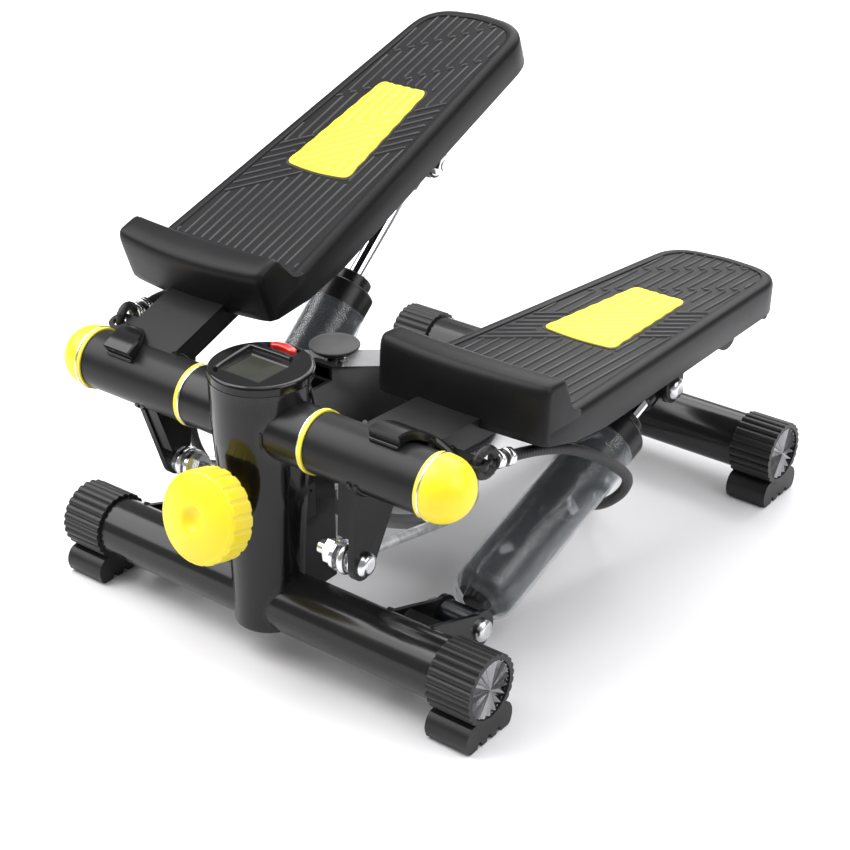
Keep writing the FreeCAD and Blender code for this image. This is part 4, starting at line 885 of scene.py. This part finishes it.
turn = [PULLEY + V3(math.cos(a0 + (a1 - a0) * t), math.sin(a0 + (a1 - a0) * t), 0) * (r0 + (r1 - r0) * t) for t in [i / 120 for i in range(1, 120)]]
m = strand(resample(ends["right"][::-1] + turn + ends["left"], 0.9))
wrap = make("rope_round_pulley", m.v, m.f, ROPE, "carriage", sharp=50)
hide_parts("cable_wrap")

# ------------------------------------------------------------------ domed kidney button
lobe = bez((-12.0, 21.4), (-13.2, 24.4), (-8.6, 25.4), 6) + bez((-8.6, 25.4), (-3.0, 26.3), (2.6, 25.4), 6) + bez((2.6, 25.4), (7.2, 24.4), (6.0, 21.4), 6) + bez((6.0, 21.4), (4.6, 19.3), (1.0, 20.5), 6) + bez((1.0, 20.5), (-3.0, 21.6), (-7.0, 20.5), 6) + bez((-7.0, 20.5), (-10.6, 19.3), (-12.0, 21.4), 6)
mid = (-3.0, 23.0)
m = Mesh()
m.rings([[(mid[0] + (x - mid[0]) * k, mid[1] + (y - mid[1]) * k, TOPZ + h) for x, y in lobe] for k, h in ((1.0, -2.0), (1.0, 0.6), (0.97, 1.3), (0.88, 1.8), (0.68, 2.1), (0.35, 2.2))])
btn = make("kidney_button", m.v, m.f, RED, "reset_button", Matrix.Translation(V3(0, SH, 0)), sharp=60)
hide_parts("reset_button")

# ------------------------------------------------------------------ monitor: raised visor line, window rim


def band(name, path, w, z0, z1, mat, body="frame"):
    pts = [Vector(p) for p in path]
    rows = []
    for i, p in enumerate(pts):
        t = (pts[min(i + 1, len(pts) - 1)] - pts[max(i - 1, 0)]).normalized()
        s = Vector((-t.y, t.x))
        rows.append([(*(p + s * w), z0), (*(p + s * w * 0.85), z0 + (z1 - z0) * 0.8), (*(p + s * w * 0.4), z1), (*(p - s * w * 0.4), z1), (*(p - s * w * 0.85), z0 + (z1 - z0) * 0.8), (*(p - s * w), z0)])
    mm = Mesh()
    mm.rings(rows)
    return make(name, mm.v, mm.f, mat, body, Matrix.Translation(V3(0, SH, 0)), sharp=40)


visor = [(-16.0, -20.5), (-17.4, -14.0), (-18.8, -4.0), (-19.8, 6.0), (-20.0, 10.0)] + arc_points(-17.2, 10.6, 3.0, 175, 95, 5) + [(-10.0, 13.8), (0.0, 14.2), (10.0, 14.0)]
band("monitor_visor", visor, 1.7, TOPZ - 0.4, TOPZ + 1.9, SHELL)
rim = [(-13.7, -18.9), (15.3, -18.9), (15.3, 7.1), (-13.7, 7.1)]
m = Mesh()
inner = [(-12.4, -17.6), (14.0, -17.6), (14.0, 5.8), (-12.4, 5.8)]
m.rings([[(x, y, TOPZ - 0.9) for x, y in rim], [(x, y, TOPZ + 0.04) for x, y in rim], [(x * 0.96 + 0.03, y * 0.97, TOPZ + 0.06) for x, y in rim], [(x, y, TOPZ - 0.6) for x, y in inner], [(x, y, TOPZ - 0.9) for x, y in inner]], close=True)
make("window_rim", m.v, m.f, SHELL, "frame", Matrix.Translation(V3(0, SH, 0)), sharp=30)

# ------------------------------------------------------------------ weld beads on the floor frame
for s in (-1, 1):
    pts = [V3(s * 18.6, AY + 18.6 * math.cos(math.radians(a)), AZ + 18.6 * math.sin(math.radians(a))) for a in range(0, 361, 6)]
    weld("axle_sleeve_bead_%s" % ("r" if s > 0 else "l"), pts, 1.2, "frame", 7 + s)
pts = []
for x, y in [(-18, 40), (18, 40)]:
    pts.append(V3(x, y + SH, 0))
weld("column_foot_bead", [V3(-18 + 36 * i / 24, SH + 19.4 * 0.02 + 18.4, 34 + 4.2) for i in range(25)], 1.6, "frame", 2)
slope = math.radians(20.6)
bs, cr = 174.9, 40.0 + SH
yb = 342.0 + SH
zt = bs - (yb - 10 - cr) * math.tan(slope)
weld("beam_rear_bead", [V3(-18 + 36 * i / 24, yb - 12.2, 34 + math.sqrt(19.2 ** 2 - 12.2 ** 2)) for i in range(25)], 1.8, "frame", 4)
for s in (-1, 1):
    for k, dx in enumerate((-15.8, 15.8)):
        x = s * 98.5 + dx
        pts = [V3(x, SH + 19.3 * math.cos(math.radians(a)), 34 + 19.3 * math.sin(math.radians(a))) for a in range(-40, 62, 5)]
        weld("bracket_bead_%s%d" % ("r" if s > 0 else "l", k), pts, 1.4, "frame", 8 + k + s)

# ------------------------------------------------------------------ stage, light, camera
fm = surface("studio_floor", (0.765, 0.758, 0.775), 0.55, grain=300, bump=0.02, mottle=3, vary=0.01)
me = bpy.data.meshes.new("floor")
me.from_pydata([(-6, -6, -0.0006), (6, -6, -0.0006), (6, 6, -0.0006), (-6, 6, -0.0006)], [], [(0, 1, 2, 3)])
me.materials.append(fm)
floor = bpy.data.objects.new("floor", me)
bpy.context.collection.objects.link(floor)

world = bpy.data.worlds.new("studio")
bpy.context.scene.world = world
world.use_nodes = True
bg = world.node_tree.nodes["Background"]
bg.inputs[0].default_value = (1.0, 1.0, 1.0, 1)
bg.inputs[1].default_value = 0.30


def area(name, loc, target, size, power, color=(1, 1, 1), size_y=None):
    la = bpy.data.lights.new(name, "AREA")
    la.shape = "RECTANGLE"
    la.size, la.size_y = size, size_y or size
    la.energy = power
    la.color = color
    o = bpy.data.objects.new(name, la)
    o.location = loc
    o.rotation_euler = (Vector(target) - Vector(loc)).to_track_quat("-Z", "Y").to_euler()
    bpy.context.collection.objects.link(o)
    return o


area("key", (-1.3, -0.7, 1.7), (0, 0, 0.1), 2.0, 60)
area("fill", (1.7, 0.2, 1.3), (0, 0, 0.1), 1.2, 18)
area("back", (-0.3, 1.7, 1.6), (0, 0, 0.1), 2.0, 38)
area("top", (0.0, 0.2, 2.3), (0, 0, 0), 3.2, 66)

cam = bpy.data.cameras.new("camera")
cam.lens, cam.sensor_width = 80.86, 36.0
co = bpy.data.objects.new("camera", cam)
co.location = (0.6622, -0.8597, 0.6612)
co.rotation_euler = (math.radians(62.0), 0.0, math.radians(37.61))
bpy.context.collection.objects.link(co)
bpy.context.scene.camera = co
bpy.context.scene.view_settings.view_transform = "Standard"

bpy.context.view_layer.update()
